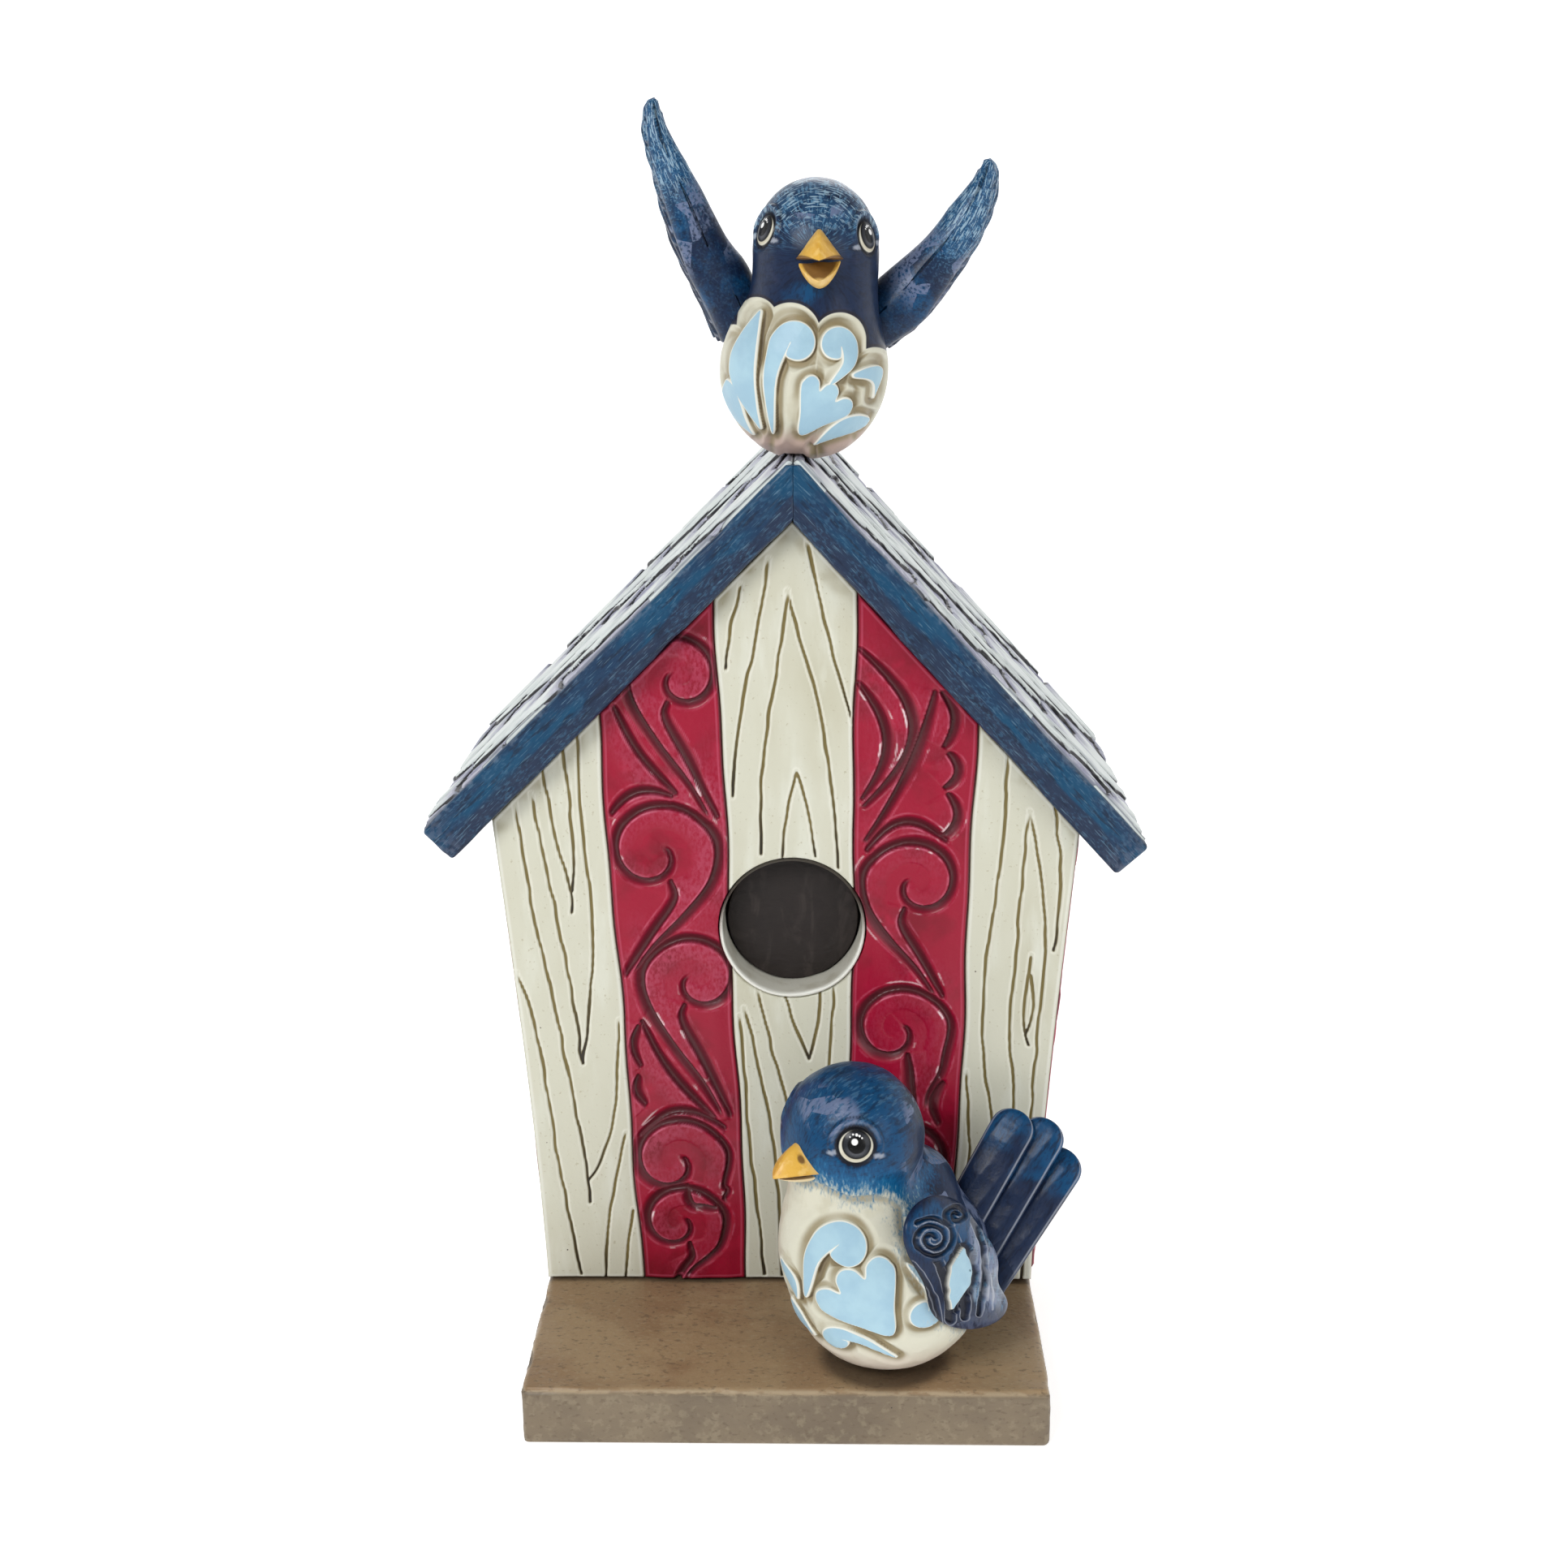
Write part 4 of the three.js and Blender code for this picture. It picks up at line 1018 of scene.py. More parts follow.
def side_boards():
    corner, count = 5.3, 3
    first = WALL["front"] + corner
    pitch = (WALL["back"] - corner - first + GAP) / count
    for hand, sign in (("left", -1), ("right", 1)):
        def place(across, height, out, sign=sign):
            x = wall_half(height) + WALL["proud"] + out
            return np.column_stack([sign * x, sign * across, height])

        wall_top = float(board_top(sign * 57.0)) - 0.2
        for number in range(count):
            start = first + number * pitch
            ends = sorted([sign * start, sign * (start + pitch - GAP)])
            middle, width = sum(ends) / 2, ends[1] - ends[0]
            crimson = number != 1
            seed = 60 + number + (10 if sign > 0 else 0)
            look = board_look(f"wall_{hand}_{number + 1}", [f"{hand}_board_{number + 1}"], crimson)
            relief = plain_relief(crimson, width, wall_top, middle, seed)
            edges = [level(end) for end in ends]
            panel(look, edges, (FOOT, level(wall_top)), place, 0.45, relief, flat_back=False)


def back_boards():
    """Five boards. Across runs from the right wall to the left one, because they are seen from behind."""
    def place(across, height, out):
        return np.column_stack([-across, WALL["back"] + out, height])

    joints = [-31.5, -10.5, 10.5, 31.5]
    gap_starts = [-joint - GAP / 2 for joint in joints]
    gap_ends = [-joint + GAP / 2 for joint in joints]
    lefts = [level(start + GAP) for start in gap_starts] + [lambda h: -wall_half(h)]
    rights = [wall_half] + [level(end - GAP) for end in gap_ends]
    waist = np.array(60.0)
    for number, (left, right) in enumerate(zip(lefts, rights)):
        crimson = number in (1, 3)
        low, high = float(left(waist)), float(right(waist))
        middle = (low + high) / 2
        look = board_look(f"wall_back_{number + 1}", [f"back_board_{number + 1}"], crimson)
        relief = plain_relief(crimson, high - low, float(board_top(-middle)), middle, 80 + number)
        span = (FOOT, lambda across: board_top(-np.asarray(across)))
        panel(look, (left, right), span, place, 0.45, relief)


# ---------- entrance ----------
def entrance_lining():
    """The hand-worked sleeve of the round entrance."""
    around = 260
    angle = np.linspace(0, 2 * math.pi, around, endpoint=False)
    bore, skin = ENTRANCE["bore"], ENTRANCE["sleeve"]
    inner = [(bore - 0.05, -6.3), (bore, -9.0), (bore, -12.0), (bore + 0.05, -14.0)]
    lip = [
        (bore + 0.12, -15.3), (bore + 0.3, -15.9), (bore + 0.6, -15.95), (skin - 0.12, -15.6), (skin, -15.0),
    ]
    outer = [(skin, -13.0), (skin, -9.0), (skin - 0.05, -6.3)]
    profile = curve(inner + lip + outer, per_span=5)
    radius, depth = profile[:, 0][:, None], profile[:, 1][:, None]
    wobble = 0.22 * np.sin(3 * angle + 1) + 0.14 * np.sin(7 * angle) + 0.06 * np.sin(17 * angle + 2)
    inside = smooth(radius, skin - 0.2, bore + 0.2)
    above = smooth(-np.cos(angle), -0.7, 1.0)
    flare = 0.68 * above * (skin - radius) / (skin - bore)
    r = radius + inside * (flare - 0.5 * np.clip(wobble, 0, 1) * (1 - above))
    x = ENTRANCE["x"] + r * np.sin(angle)
    z = ENTRANCE["z"] - r * np.cos(angle)
    y = depth + (0.9 * above + 0.15 * np.sin(5 * angle + 0.6) * (1 - above)) * smooth(depth, -13, -16)
    points = np.column_stack([x.ravel(), y.ravel(), z.ravel()])
    rows = len(profile)
    faces = grid_faces(rows, around, wrap=True)
    last = np.arange(around) + (rows - 1) * around
    ring = np.arange(around)
    closing = np.column_stack([last, np.roll(last, -1), np.roll(ring, -1), ring])
    # painted shade deeper in the bore and along its top; painted highlight on the front lip below the top
    deep = smooth(points[:, 1], -9.5, -6.5)
    overhead = smooth(np.tile(-np.cos(angle), rows), -0.25, 0.5)
    fields = {"lip": smooth(points[:, 1], -14.8, -15.7) * (1 - overhead), "wash": np.maximum(deep, overhead)}
    piece("entrance_lining", points, np.vstack([faces, closing])[:, ::-1].tolist(), ["entrance_sleeve"],
          "board_cream", RIM, fields)


def entrance_disc():
    """The dark disc behind the entrance, with a step in its rim."""
    around, back_face = 240, -3.9
    dish = [(0.3, -8.7), (6, -8.9), (12.2, -8.75), (12.9, -8.2)]
    step = [(13.0, -6.2), (13.5, -5.55), (16.9, -5.5)]
    profile = curve(dish + step, per_span=10)
    turn = np.linspace(0, 2 * math.pi, around, endpoint=False)
    reach = profile[:, 0][:, None]
    flat = np.column_stack([(reach * np.sin(turn)).ravel(), (-reach * np.cos(turn)).ravel()])
    depth = np.repeat(profile[:, 1], around) + 0.12 * noise(flat, 4, 3)
    front = np.column_stack([flat[:, 0] + ENTRANCE["x"], depth, flat[:, 1] + ENTRANCE["z"]])
    back = front[-around:].copy()
    back[:, 1] = back_face
    faces = grid_faces(len(profile), around, wrap=True)[:, ::-1].tolist()
    count = len(front)
    outer = np.arange(count - around, count)
    behind = np.arange(count, count + around)
    sides = np.column_stack([outer, behind, np.roll(behind, -1), np.roll(outer, -1)])[:, ::-1].tolist()
    caps = [tuple(range(around)), tuple(behind[::-1].tolist())]
    piece("entrance_dark_disc", np.vstack([front, back]), faces + sides + caps, ["entrance_backing"],
          "entrance_dark", HOLLOW)


# ---------- roof ----------
def ridge_x(depth):
    left, right = math.tan(PITCH["left"]), math.tan(PITCH["right"])
    from_left = RIDGE["left"] * left + depth / math.cos(PITCH["left"])
    from_right = RIDGE["right"] * right - depth / math.cos(PITCH["right"])
    return (from_left + from_right) / (left + right)


def slope_frame(hand):
    """The side's sign, the ways down the slope and into the roof, the eave's top corner and the length."""
    sign = -1 if hand == "left" else 1
    pitch, eave = PITCH[hand], EAVE[hand]
    down = np.array([sign * math.cos(pitch), 0, -math.sin(pitch)])
    into = np.array([-sign * math.sin(pitch), 0, -math.cos(pitch)])
    corner = np.array([eave, 0, float(roof_height(eave, 0))])
    length = (eave - ridge_x(0)) / down[0]
    return sign, down, into, corner, length


def roof_slabs():
    for hand in ("left", "right"):
        sign, down, into, corner, length = slope_frame(hand)
        depth_y = ROOF["back"] - ROOF["front"]
        spare = 1.5
        size = (length + spare, ROOF["thickness"], depth_y)
        points, faces, normals = round_box(size, (0.42, 0.42, 1.0), 1.0)
        normals[points[:, 0] < spare] *= [0, 1, 1]
        points[:, 0] = np.maximum(points[:, 0] - spare, 0)
        seed = 100 if hand == "left" else 110
        front = smooth(points[:, 2], 3, 0)
        lumps = 0.30 * noise(points, 9, seed) + 0.22 * noise(points * [0.35, 1, 1], 2.4, seed + 1)
        lumps += 0.10 * noise(points * [0.25, 1, 1], 1.0, seed + 2)
        points = points + normals * (np.minimum(lumps, 0.1) - 0.1)[:, None] * (0.35 + 0.65 * front)[:, None]
        a, b, y = points.T
        start = length - (corner[0] - ridge_x(0) + into[0] * b - sign * MITRE_GAP / 2) / down[0]
        along = start + (length - start) * a / length
        world = corner - down * (length - along)[:, None] + into * b[:, None]
        world[:, 2] = np.minimum(world[:, 2], ROOF["ridge"] - 0.05)
        world[:, 1] = ROOF["front"] + y
        if sign < 0:
            faces = faces[:, ::-1]
        fields = {
            "grain": np.column_stack([along, b, y]),
            "low": smooth(b + 1.3 * noise(points * [0.3, 1, 1], 3, seed + 5), 3.4, 6.2),
            "tip": smooth(along, length - 7, length) * front,
            # lip: painted highlight along the top edge of the front face
            "lip": smooth(b, 1.3, 0.3) * front,
        }
        piece(f"roof_board_{hand}", world, faces.tolist(), [f"roof_slab_{hand}"], "roof_navy", NAVY_ROOF,
              fields)


def carving_relief(hand, length):
    """Rows of jagged white leaves that run down the slope, parted by grey hollows and inked outlines."""
    seed = 120 if hand == "left" else 130

    def relief(flat, side):
        y = flat[:, 0]
        a = flat[:, 1] if hand == "left" else length - flat[:, 1]
        place = np.column_stack([a, y])
        leaf, row_depth = 29.0, 16.5
        row_position = (y + 1.5 * noise(place, 15, seed + 8) - ROOF["front"] - 1.4) / row_depth
        row = np.floor(row_position)
        within = (row_position - row) * row_depth
        start = 4.0 + (row * 0.41 % 1.0) * leaf
        bent = a + 2.4 * noise(place * [1, 1.5], 10, seed + 9) + 0.045 * (within - 8) ** 2
        phase = ((bent - start) / leaf) % 1.0
        jag = 1.5 * noise(place * [1, 0.2], 2.2, seed + 3) + 1.2 * noise(place * [1, 0.2], 6.5, seed + 4)
        border = np.clip(14.5 * phase**0.9 + jag * (0.5 + phase) - 1.2, -1, 16)
        gap = within - border
        grey = smooth(gap, 0.5, -0.5)
        # painted shadow just beneath the end of each leaf
        beneath = smooth(phase, 0.2, 0.03) * 0.9
        shade = np.maximum(grey, beneath)
        weight = 0.9 + 1.1 * smooth(phase, 0.25, 0.0) + 0.8 * noise(place, 4.5, seed + 5)
        ink = smooth(np.abs(gap), np.maximum(weight, 0.25), 0.1)
        root = np.minimum(phase, 1 - phase) * leaf
        thick = 0.75 + 0.45 * noise(place * [0.3, 1], 3.0, seed + 6)
        ink = np.maximum(ink, smooth(root, thick, thick * 0.4))
        draw = np.random.default_rng(seed)
        for _ in range(96):
            begin, depth = draw.uniform(0, length - 12), draw.uniform(ROOF["front"] + 3, ROOF["back"] - 3)
            reach, lean = draw.uniform(7, 22), draw.uniform(-2.5, 4.5)
            middle = (begin + reach * 0.5, depth + lean * 0.3)
            line = curve([(begin, depth), middle, (begin + reach, depth + lean)])
            distance, _, along = to_line(place, line, 1.6)
            width = 0.5 * smooth(along, 0, 0.25) * smooth(along, 1, 0.7) + 0.08
            ink = np.maximum(ink, smooth(distance, width + 0.25, width * 0.4) * 0.95)
        out = 0.2 * noise(place, 9, seed) - 0.55 * grey - 0.7 * ink
        out += 0.35 * smooth(phase, 0.4, 1.0) * (1 - grey)
        return out, {"shade": shade, "ink": ink}
    return relief


def roof_carvings():
    for hand in ("left", "right"):
        _, down, into, corner, length = slope_frame(hand)
        bed = ROOF["rebate"] - GAP

        def place(across, height, out, down=down, into=into, corner=corner, length=length, hand=hand):
            along = height if hand == "left" else length - height
            lift = np.minimum(out, 0.0) + ROOF["proud"]
            buried = out < -4
            lift = np.where(buried, -bed, lift)
            world = corner - down * (length - along)[:, None] - into * lift[:, None]
            top = ROOF["ridge"] + ROOF["proud"] - 0.05
            world[:, 2] = np.where(buried, world[:, 2], np.minimum(world[:, 2], top))
            world[:, 1] = across
            return world

        rim = ROOF["rim"] + GAP
        inset = 0.9
        low, high = (inset, length - rim) if hand == "left" else (rim, length - inset)
        look = {
            "name": f"roof_leaves_{hand}",
            "nodes": [f"roof_carving_{hand}"],
            "slot": "roof_white",
            "paint": WHITE_ROOF,
        }
        edges = (level(ROOF["front"] + rim), level(ROOF["back"] - rim))
        panel(look, edges, (low, level(high)), place, 0.4, carving_relief(hand, length))


# ---------- plinth ----------
def plinth():
    points, faces, normals = round_box(PLINTH, (0.6, 0.75, 0.5), 1.3)
    top = smooth(points[:, 2], 10.9, 11.9)
    lumps = 0.30 * noise(points, 17, 140) + 0.16 * noise(points * [0.5, 1, 1], 4, 141)
    lumps += 0.10 * noise(points * [0.35, 1, 1], 1.5, 142)
    chips = smooth(noise(points * [0.6, 1, 1], 5.5, 143), 0.25, 0.8)
    rim = (np.abs(normals[:, 2] - 0.6) < 0.35) * 1.0
    lift = np.minimum(lumps, 0.06) - 0.06 - 0.6 * chips * rim
    lift *= np.where(points[:, 2] < 0.5, 0, 1)
    points = points + normals * lift[:, None] - [PLINTH[0] / 2, PLINTH[1] / 2, 0]
    x, y, _ = points.T
    # painted shadow where the house and the ledge bird stand on the plinth
    house = np.maximum(np.maximum(np.abs(x) - 50, WALL["front"] - y), y - WALL["back"])
    bird = np.hypot((x - 19) / 1.1, y + 43.5) - 9.5
    contact_shadow = np.maximum(smooth(house, 1.6, 0.0), smooth(bird, 3.5, 0.0)) * top
    fields = {"top": top, "lip": smooth(np.abs(normals[:, 2] - 0.55), 0.45, 0.1), "contact_shadow": contact_shadow}
    piece("slab_base", points, faces.tolist(), ["base_plinth"], "plinth_taupe", TAUPE, fields)


# ---------- birds ----------
def lump_distance(points, centre, radii):
    p = (points - centre) / radii
    scaled = np.linalg.norm(p, axis=1)
    slope = np.linalg.norm(p / radii, axis=1)
    return scaled * (scaled - 1) / np.maximum(slope, 1e-9)


def body_distance(points, bird):
    first, *others = (lump_distance(points, np.array(at), np.array(radii)) for at, radii in bird["lumps"])
    total = first
    for here in others:
        h = np.maximum(BLEND - np.abs(total - here), 0) / BLEND
        total = np.minimum(total, here) - h * h * BLEND / 4
    return total


def body_normal(points, bird):
    step = 0.05
    slope = [body_distance(points + d, bird) - body_distance(points - d, bird) for d in np.eye(3) * step]
    return unit_rows(np.stack(slope, axis=1))


def on_skin(bird, rays, origin=None):
    """Where rays from the bird's heart, or another point inside it, leave its skin."""
    start = np.array(bird["heart"] if origin is None else origin, float)
    inside, outside = np.zeros(len(rays)), np.full(len(rays), 60.0)
    for _ in range(26):
        middle = (inside + outside) / 2
        within = body_distance(start + rays * middle[:, None], bird) < 0
        inside, outside = np.where(within, middle, inside), np.where(within, outside, middle)
    return start + rays * inside[:, None]


def shapes_distance(flat, shapes, reach=3.0):
    total = np.full(len(flat), reach)
    for shape in shapes:
        total = np.minimum(total, to_shape(flat, curve(shape, closed=True, per_span=6), reach))
    return total


def breast_relief(points, normals, shapes, cream):
    """Raised light-blue shapes with a groove around each, on the cream breast."""
    flat = points[:, [0, 2]]
    facing = smooth(-normals[:, 1], 0.0, 0.25)
    blue = np.full(len(points), 3.0)
    front = np.flatnonzero(normals[:, 1] < 0.05)
    blue[front] = shapes_distance(flat[front], shapes)
    # lean is high on the lower-right side of each shape, where the groove gets painted shadow
    lean = np.zeros(len(points))
    near = front[np.abs(blue[front]) < 2.9]
    lean[near] = (shapes_distance(flat[near] + [0.22, -0.16], shapes) - blue[near]) / 0.27
    inside = smooth(cream, 0.0, 0.5) * facing
    uneven = np.clip(0.85 + 0.45 * noise(flat, 5, 7) + 0.3 * lean, 0.3, 1.25)
    groove = smooth(blue, 0.0, 0.5) * smooth(blue, 2.5, 0.9) * inside
    rim = smooth(cream, 0.45, 0.95) * smooth(cream, 2.6, 1.2) * smooth(blue, 0.4, 1.0) * facing
    lift = -0.95 * groove * uneven - 0.35 * rim
    dark = smooth(blue, 0.12, 0.3) * smooth(blue, 0.95, 0.45)
    broad = smooth(blue, 0.2, 0.5) * smooth(blue, 2.2, 0.9)
    # painted shadow: the groove next to each shape is darker on its lower-right side
    shadow = dark * np.clip(0.55 + 0.45 * lean + 0.3 * noise(flat, 3, 9), 0, 1)
    wash = np.maximum(np.maximum(broad * 0.62 * uneven, shadow) * inside, rim * 0.5 * uneven)
    return lift, blue, wash


def petal(x, z, to_x, to_z, width, bow, fat=0.5):
    """A leaf between two points: round at the start where fat is 0.5, pointed at both ends where it is 1."""
    t = np.linspace(0, 1, 13)[:, None]
    start, step = np.array([x, z]), np.array([to_x - x, to_z - z])
    across = unit([-step[1], step[0]])
    middle = start + step * t + across * bow * np.sin(math.pi * t)
    half = across * width * np.sin(math.pi * t**fat)
    return np.vstack([middle + half, (middle - half)[-2:0:-1]])


def comma(x, z, radius, tail, hand):
    """A round head with a stem that wraps over it and runs down to a pointed tail.

    The stem passes the head on its left, looking towards the tail from the head, where hand is -1.
    """
    head, tail = np.array([x, z]), np.array(tail, float)
    base = math.atan2(tail[1] - z, tail[0] - x)

    def at(degrees, reach):
        turn = base - hand * np.radians(degrees)
        return head + np.stack([np.cos(turn), np.sin(turn)], axis=-1) * np.asarray(reach)[..., None]

    t = np.linspace(0, 1, 10)
    rim = at(69 + 320 * t, radius * (1.9 - 0.9 * np.sqrt(t)))
    notch = at(80.0, 0.4 * radius)
    outward = (at(90.0, radius) - head) / radius
    outside = tail * 0.45 + rim[0] * 0.55 + outward * 0.45 * radius
    inside = notch * 0.6 + tail * 0.4 + outward * 0.5 * radius
    return np.vstack([tail, outside, rim, notch, inside])


def fan(x, z, reach, facing, spread, lobes=3):
    """A leaf that opens from its root into rounded lobes. The angles are in degrees."""
    t = np.linspace(-1, 1, 6 * lobes + 1)
    humps = np.abs(np.sin(lobes * math.pi * (t + 1) / 2)) ** 0.7
    turn = np.radians(facing + spread * t)
    far = reach * (0.8 + 0.2 * humps)
    rim = np.column_stack([x + far * np.cos(turn), z + far * np.sin(turn)])
    root = np.array([[x, z]])
    return np.vstack([root, root * 0.5 + rim[:1] * 0.5, rim, root * 0.5 + rim[-1:] * 0.5])


ROOF_BREAST = [
    petal(-3.9, 207.6, -4.0, 186.3, 2.4, -3.4, 0.9),
    petal(-10.4, 195.0, -5.4, 185.0, 1.7, -1.2, 0.65),
    comma(2.7, 202.0, 2.7, (-1.8, 185.4), 1),
    comma(9.9, 201.6, 2.3, (8.6, 194.6), -1),
    fan(3.2, 185.4, 11.2, 55, 33),
    petal(13.0, 196.4, 16.8, 191.6, 1.6, 3.0, 0.6),
    petal(16.0, 187.8, 5.8, 183.3, 1.6, -0.8, 0.6),
]
# The breast's scalloped top: x, z and radius of discs, each with everything below it.
ROOF_SCALLOPS = [
    (-8.4, 199.8, 5.0), (-4.5, 206.0, 3.8), (1.6, 203.6, 5.4), (10.4, 202.4, 4.8), (16.4, 196.6, 4.2),
]
BASE_BREAST = [
    comma(11.3, 43.0, 3.1, (4.0, 31.0), 1),
    fan(20.0, 26.2, 15.6, 127, 39),
    comma(25.9, 30.3, 2.3, (22.7, 40.0), 1),
    comma(9.8, 23.2, 2.0, (21.0, 19.9), -1),
    petal(-0.6, 35.6, 2.4, 29.2, 1.1, 0.5, 0.7),
    petal(1.2, 27.4, 5.6, 21.2, 1.0, -0.4, 0.8),
]
BASE_BORDER = [(-3, 56), (1, 54.5), (4, 54.5), (7, 54.8), (12, 53), (17, 53), (20, 51.5), (23, 48.6)]
BASE_FLANK = [
    (22.9, 48.6), (23.6, 44.7), (24.9, 41.5), (27.5, 36.5),
    (30.6, 31.5), (31.4, 27.8), (34, 24.3), (37.5, 20.0),
]


def eye_place(bird, towards):
    """The point on the head that faces that way from the head's centre, and the frame of an eye there."""
    head = np.array(bird["head"])
    ray = unit(towards)[None, :]
    at = on_skin(bird, ray, head)[0]
    normal = body_normal(at[None, :], bird)[0]
    side = unit(np.cross((0, 0, 1), normal))
    return at, side, np.cross(normal, side), normal


def head_marks(points, eyes, size):
    """Sockets, brows and painted marks around the eyes: the lift, dark marks and light marks."""
    lift = np.zeros(len(points))
    ink = np.zeros(len(points))
    chalk = np.zeros(len(points))
    for (at, side, up, normal), forward in eyes:
        off = points - at
        across, rise, out = off @ side * forward, off @ up, off @ normal
        near = smooth(np.abs(out), 6.0, 4.0)
        reach = np.hypot(across, rise)
        lift -= near * 0.55 * smooth(reach, size + 0.9, size - 0.4)
        brow = smooth(np.abs(reach - size - 1.15), 0.75, 0.0) * smooth(rise, -size, size * 0.4)
        lift += near * 0.5 * brow
        ring = smooth(np.abs(reach - size - 0.1), 0.5, 0.25)
        ink = np.maximum(ink, near * ring)
        arc = smooth(np.abs(reach - size - 1.7), 0.22, 0.05) * smooth(rise, 0.0, size * 0.5)
        ink = np.maximum(ink, near * arc * 0.7)
        pale = smooth(np.abs(reach - size - 0.85), 0.3, 0.1) * smooth(rise, -0.2, size * 0.4) * 0.2
        for corner, lift_up in ((1.0, -0.55), (-1.0, -0.35)):
            along = across * corner - size
            drop = rise - lift_up * size
            apart = np.hypot((along - 0.6) / 1.5, drop / 0.5)
            pale = np.maximum(pale, smooth(apart, 1.0, 0.6) * 0.75)
            rim = smooth(np.abs(apart - 1.25), 0.3, 0.1)
            ink = np.maximum(ink, near * rim * 0.7)
        chalk = np.maximum(chalk, near * pale * smooth(reach, size + 0.25, size + 0.5))
    return lift, ink, chalk


def eye(name, place, size, forward):
    """A glossy dome with a pale ring, a grey iris, a black pupil and painted glints."""
    at, side, up, normal = place
    rings, around = 46, 120
    reach = np.linspace(0, 1, rings)[1:, None]
    angle = np.linspace(0, 2 * math.pi, around, endpoint=False)
    across = (reach * np.cos(angle)).ravel()
    rise = (reach * np.sin(angle)).ravel()
    across, rise = np.append(across, 0.0), np.append(rise, 0.0)
    far = np.hypot(across, rise)
    head_curve = size**2 / 26.0
    dome = 0.85 * np.sqrt(np.clip(1 - 0.98 * far**2, 0, 1)) - head_curve * far**2 - 0.62
    front = at + size * (across[:, None] * side + rise[:, None] * up) + dome[:, None] * normal
    behind = front.copy() - normal * 0.9 * (1 - 0.6 * (1 - far[:, None]))
    count = len(front)
    quads = grid_faces(rings - 1, around, wrap=True)
    hub = [(count - 1, i, (i + 1) % around) for i in range(around)]
    rim = np.arange(around) + (rings - 2) * around
    wall = np.column_stack([rim, rim + count, np.roll(rim, -1) + count, np.roll(rim, -1)])
    faces = quads.tolist() + hub
    back = [[i + count for i in face][::-1] for face in faces]
    faces += back + wall.tolist()
    u = np.tile(across * forward, 2)
    v = np.tile(rise, 2)
    white = np.hypot((u - 0.02) / 0.93, (v + 0.02) / 0.88)
    iris = np.hypot(u - 0.04, v - 0.08)

    rings = [
        ((222, 218, 200), smooth(white, 1.0, 0.93)),
        ((176, 166, 140), smooth(white, 0.98, 0.86) * smooth(v, 0.1, -0.6) * 0.5),
        ((14, 15, 18), smooth(iris, 0.80, 0.75)),
        ((38, 40, 46), smooth(iris, 0.71, 0.66)),
        ((84, 86, 92), smooth(iris, 0.70, 0.5) * smooth(v, 0.1, -0.5) * 0.8),
        ((8, 8, 10), smooth(iris, 0.5, 0.44)),
    ]
    glints = [
        (-0.06, 0.24, 0.17), (0.05, 0.6, 0.075), (-0.14, 0.62, 0.05), (0.2, 0.54, 0.06),
        (0.33, 0.43, 0.045), (-0.3, 0.5, 0.04),
    ]
    dots = [((250, 250, 248), smooth(np.hypot(u - x, v - y), dot * 1.15, dot * 0.85)) for x, y, dot in glints]
    colour = np.tile(np.array(srgb(18, 20, 26)), (len(u), 1))
    for tint, amount in rings + dots:
        amount = amount[:, None]
        colour = colour * (1 - amount) + np.array(srgb(*tint)) * amount
    piece(name, np.vstack([front, behind]), faces, [], "bird_navy", EYE, colours=colour)


def bird_body(name, bird, node, paint, shapes, cream_of, rub_and_light_of, floor):
    rays, faces = geodesic(BODY_FINENESS, front=(0, -1, 0.05))
    points = on_skin(bird, rays)
    normals = body_normal(points, bird)
    cream = cream_of(points)
    lift, blue, wash = breast_relief(points, normals, shapes, cream)
    head_lift, ink, chalk = head_marks(points, bird["eyes"], bird["eye_size"])
    lift = lift + head_lift + 0.12 * noise(points, 6, 150) + 0.05 * noise(points, 2, 151)
    fields = {"cream": cream, "blue": blue, "wash": wash, "ink": ink, "chalk": chalk}
    fields.update(rub_and_light_of(points))
    head = points - np.array(bird["head"])
    ahead = unit(bird["ahead"])
    turn = np.arccos(np.clip(unit_rows(head) @ ahead, -1, 1))
    aside = unit(np.cross(ahead, (0, 0, 1)))
    around = np.arctan2(head @ np.cross(aside, ahead), head @ aside)
    fields["grain"] = np.column_stack([turn * 13, around * 9, points[:, 2] * 0.3])
    points = points + normals * lift[:, None]
    points[:, 2] = np.maximum(points[:, 2], floor(points))
    piece(name, points, faces.tolist(), [node], "bird_navy", paint, fields)


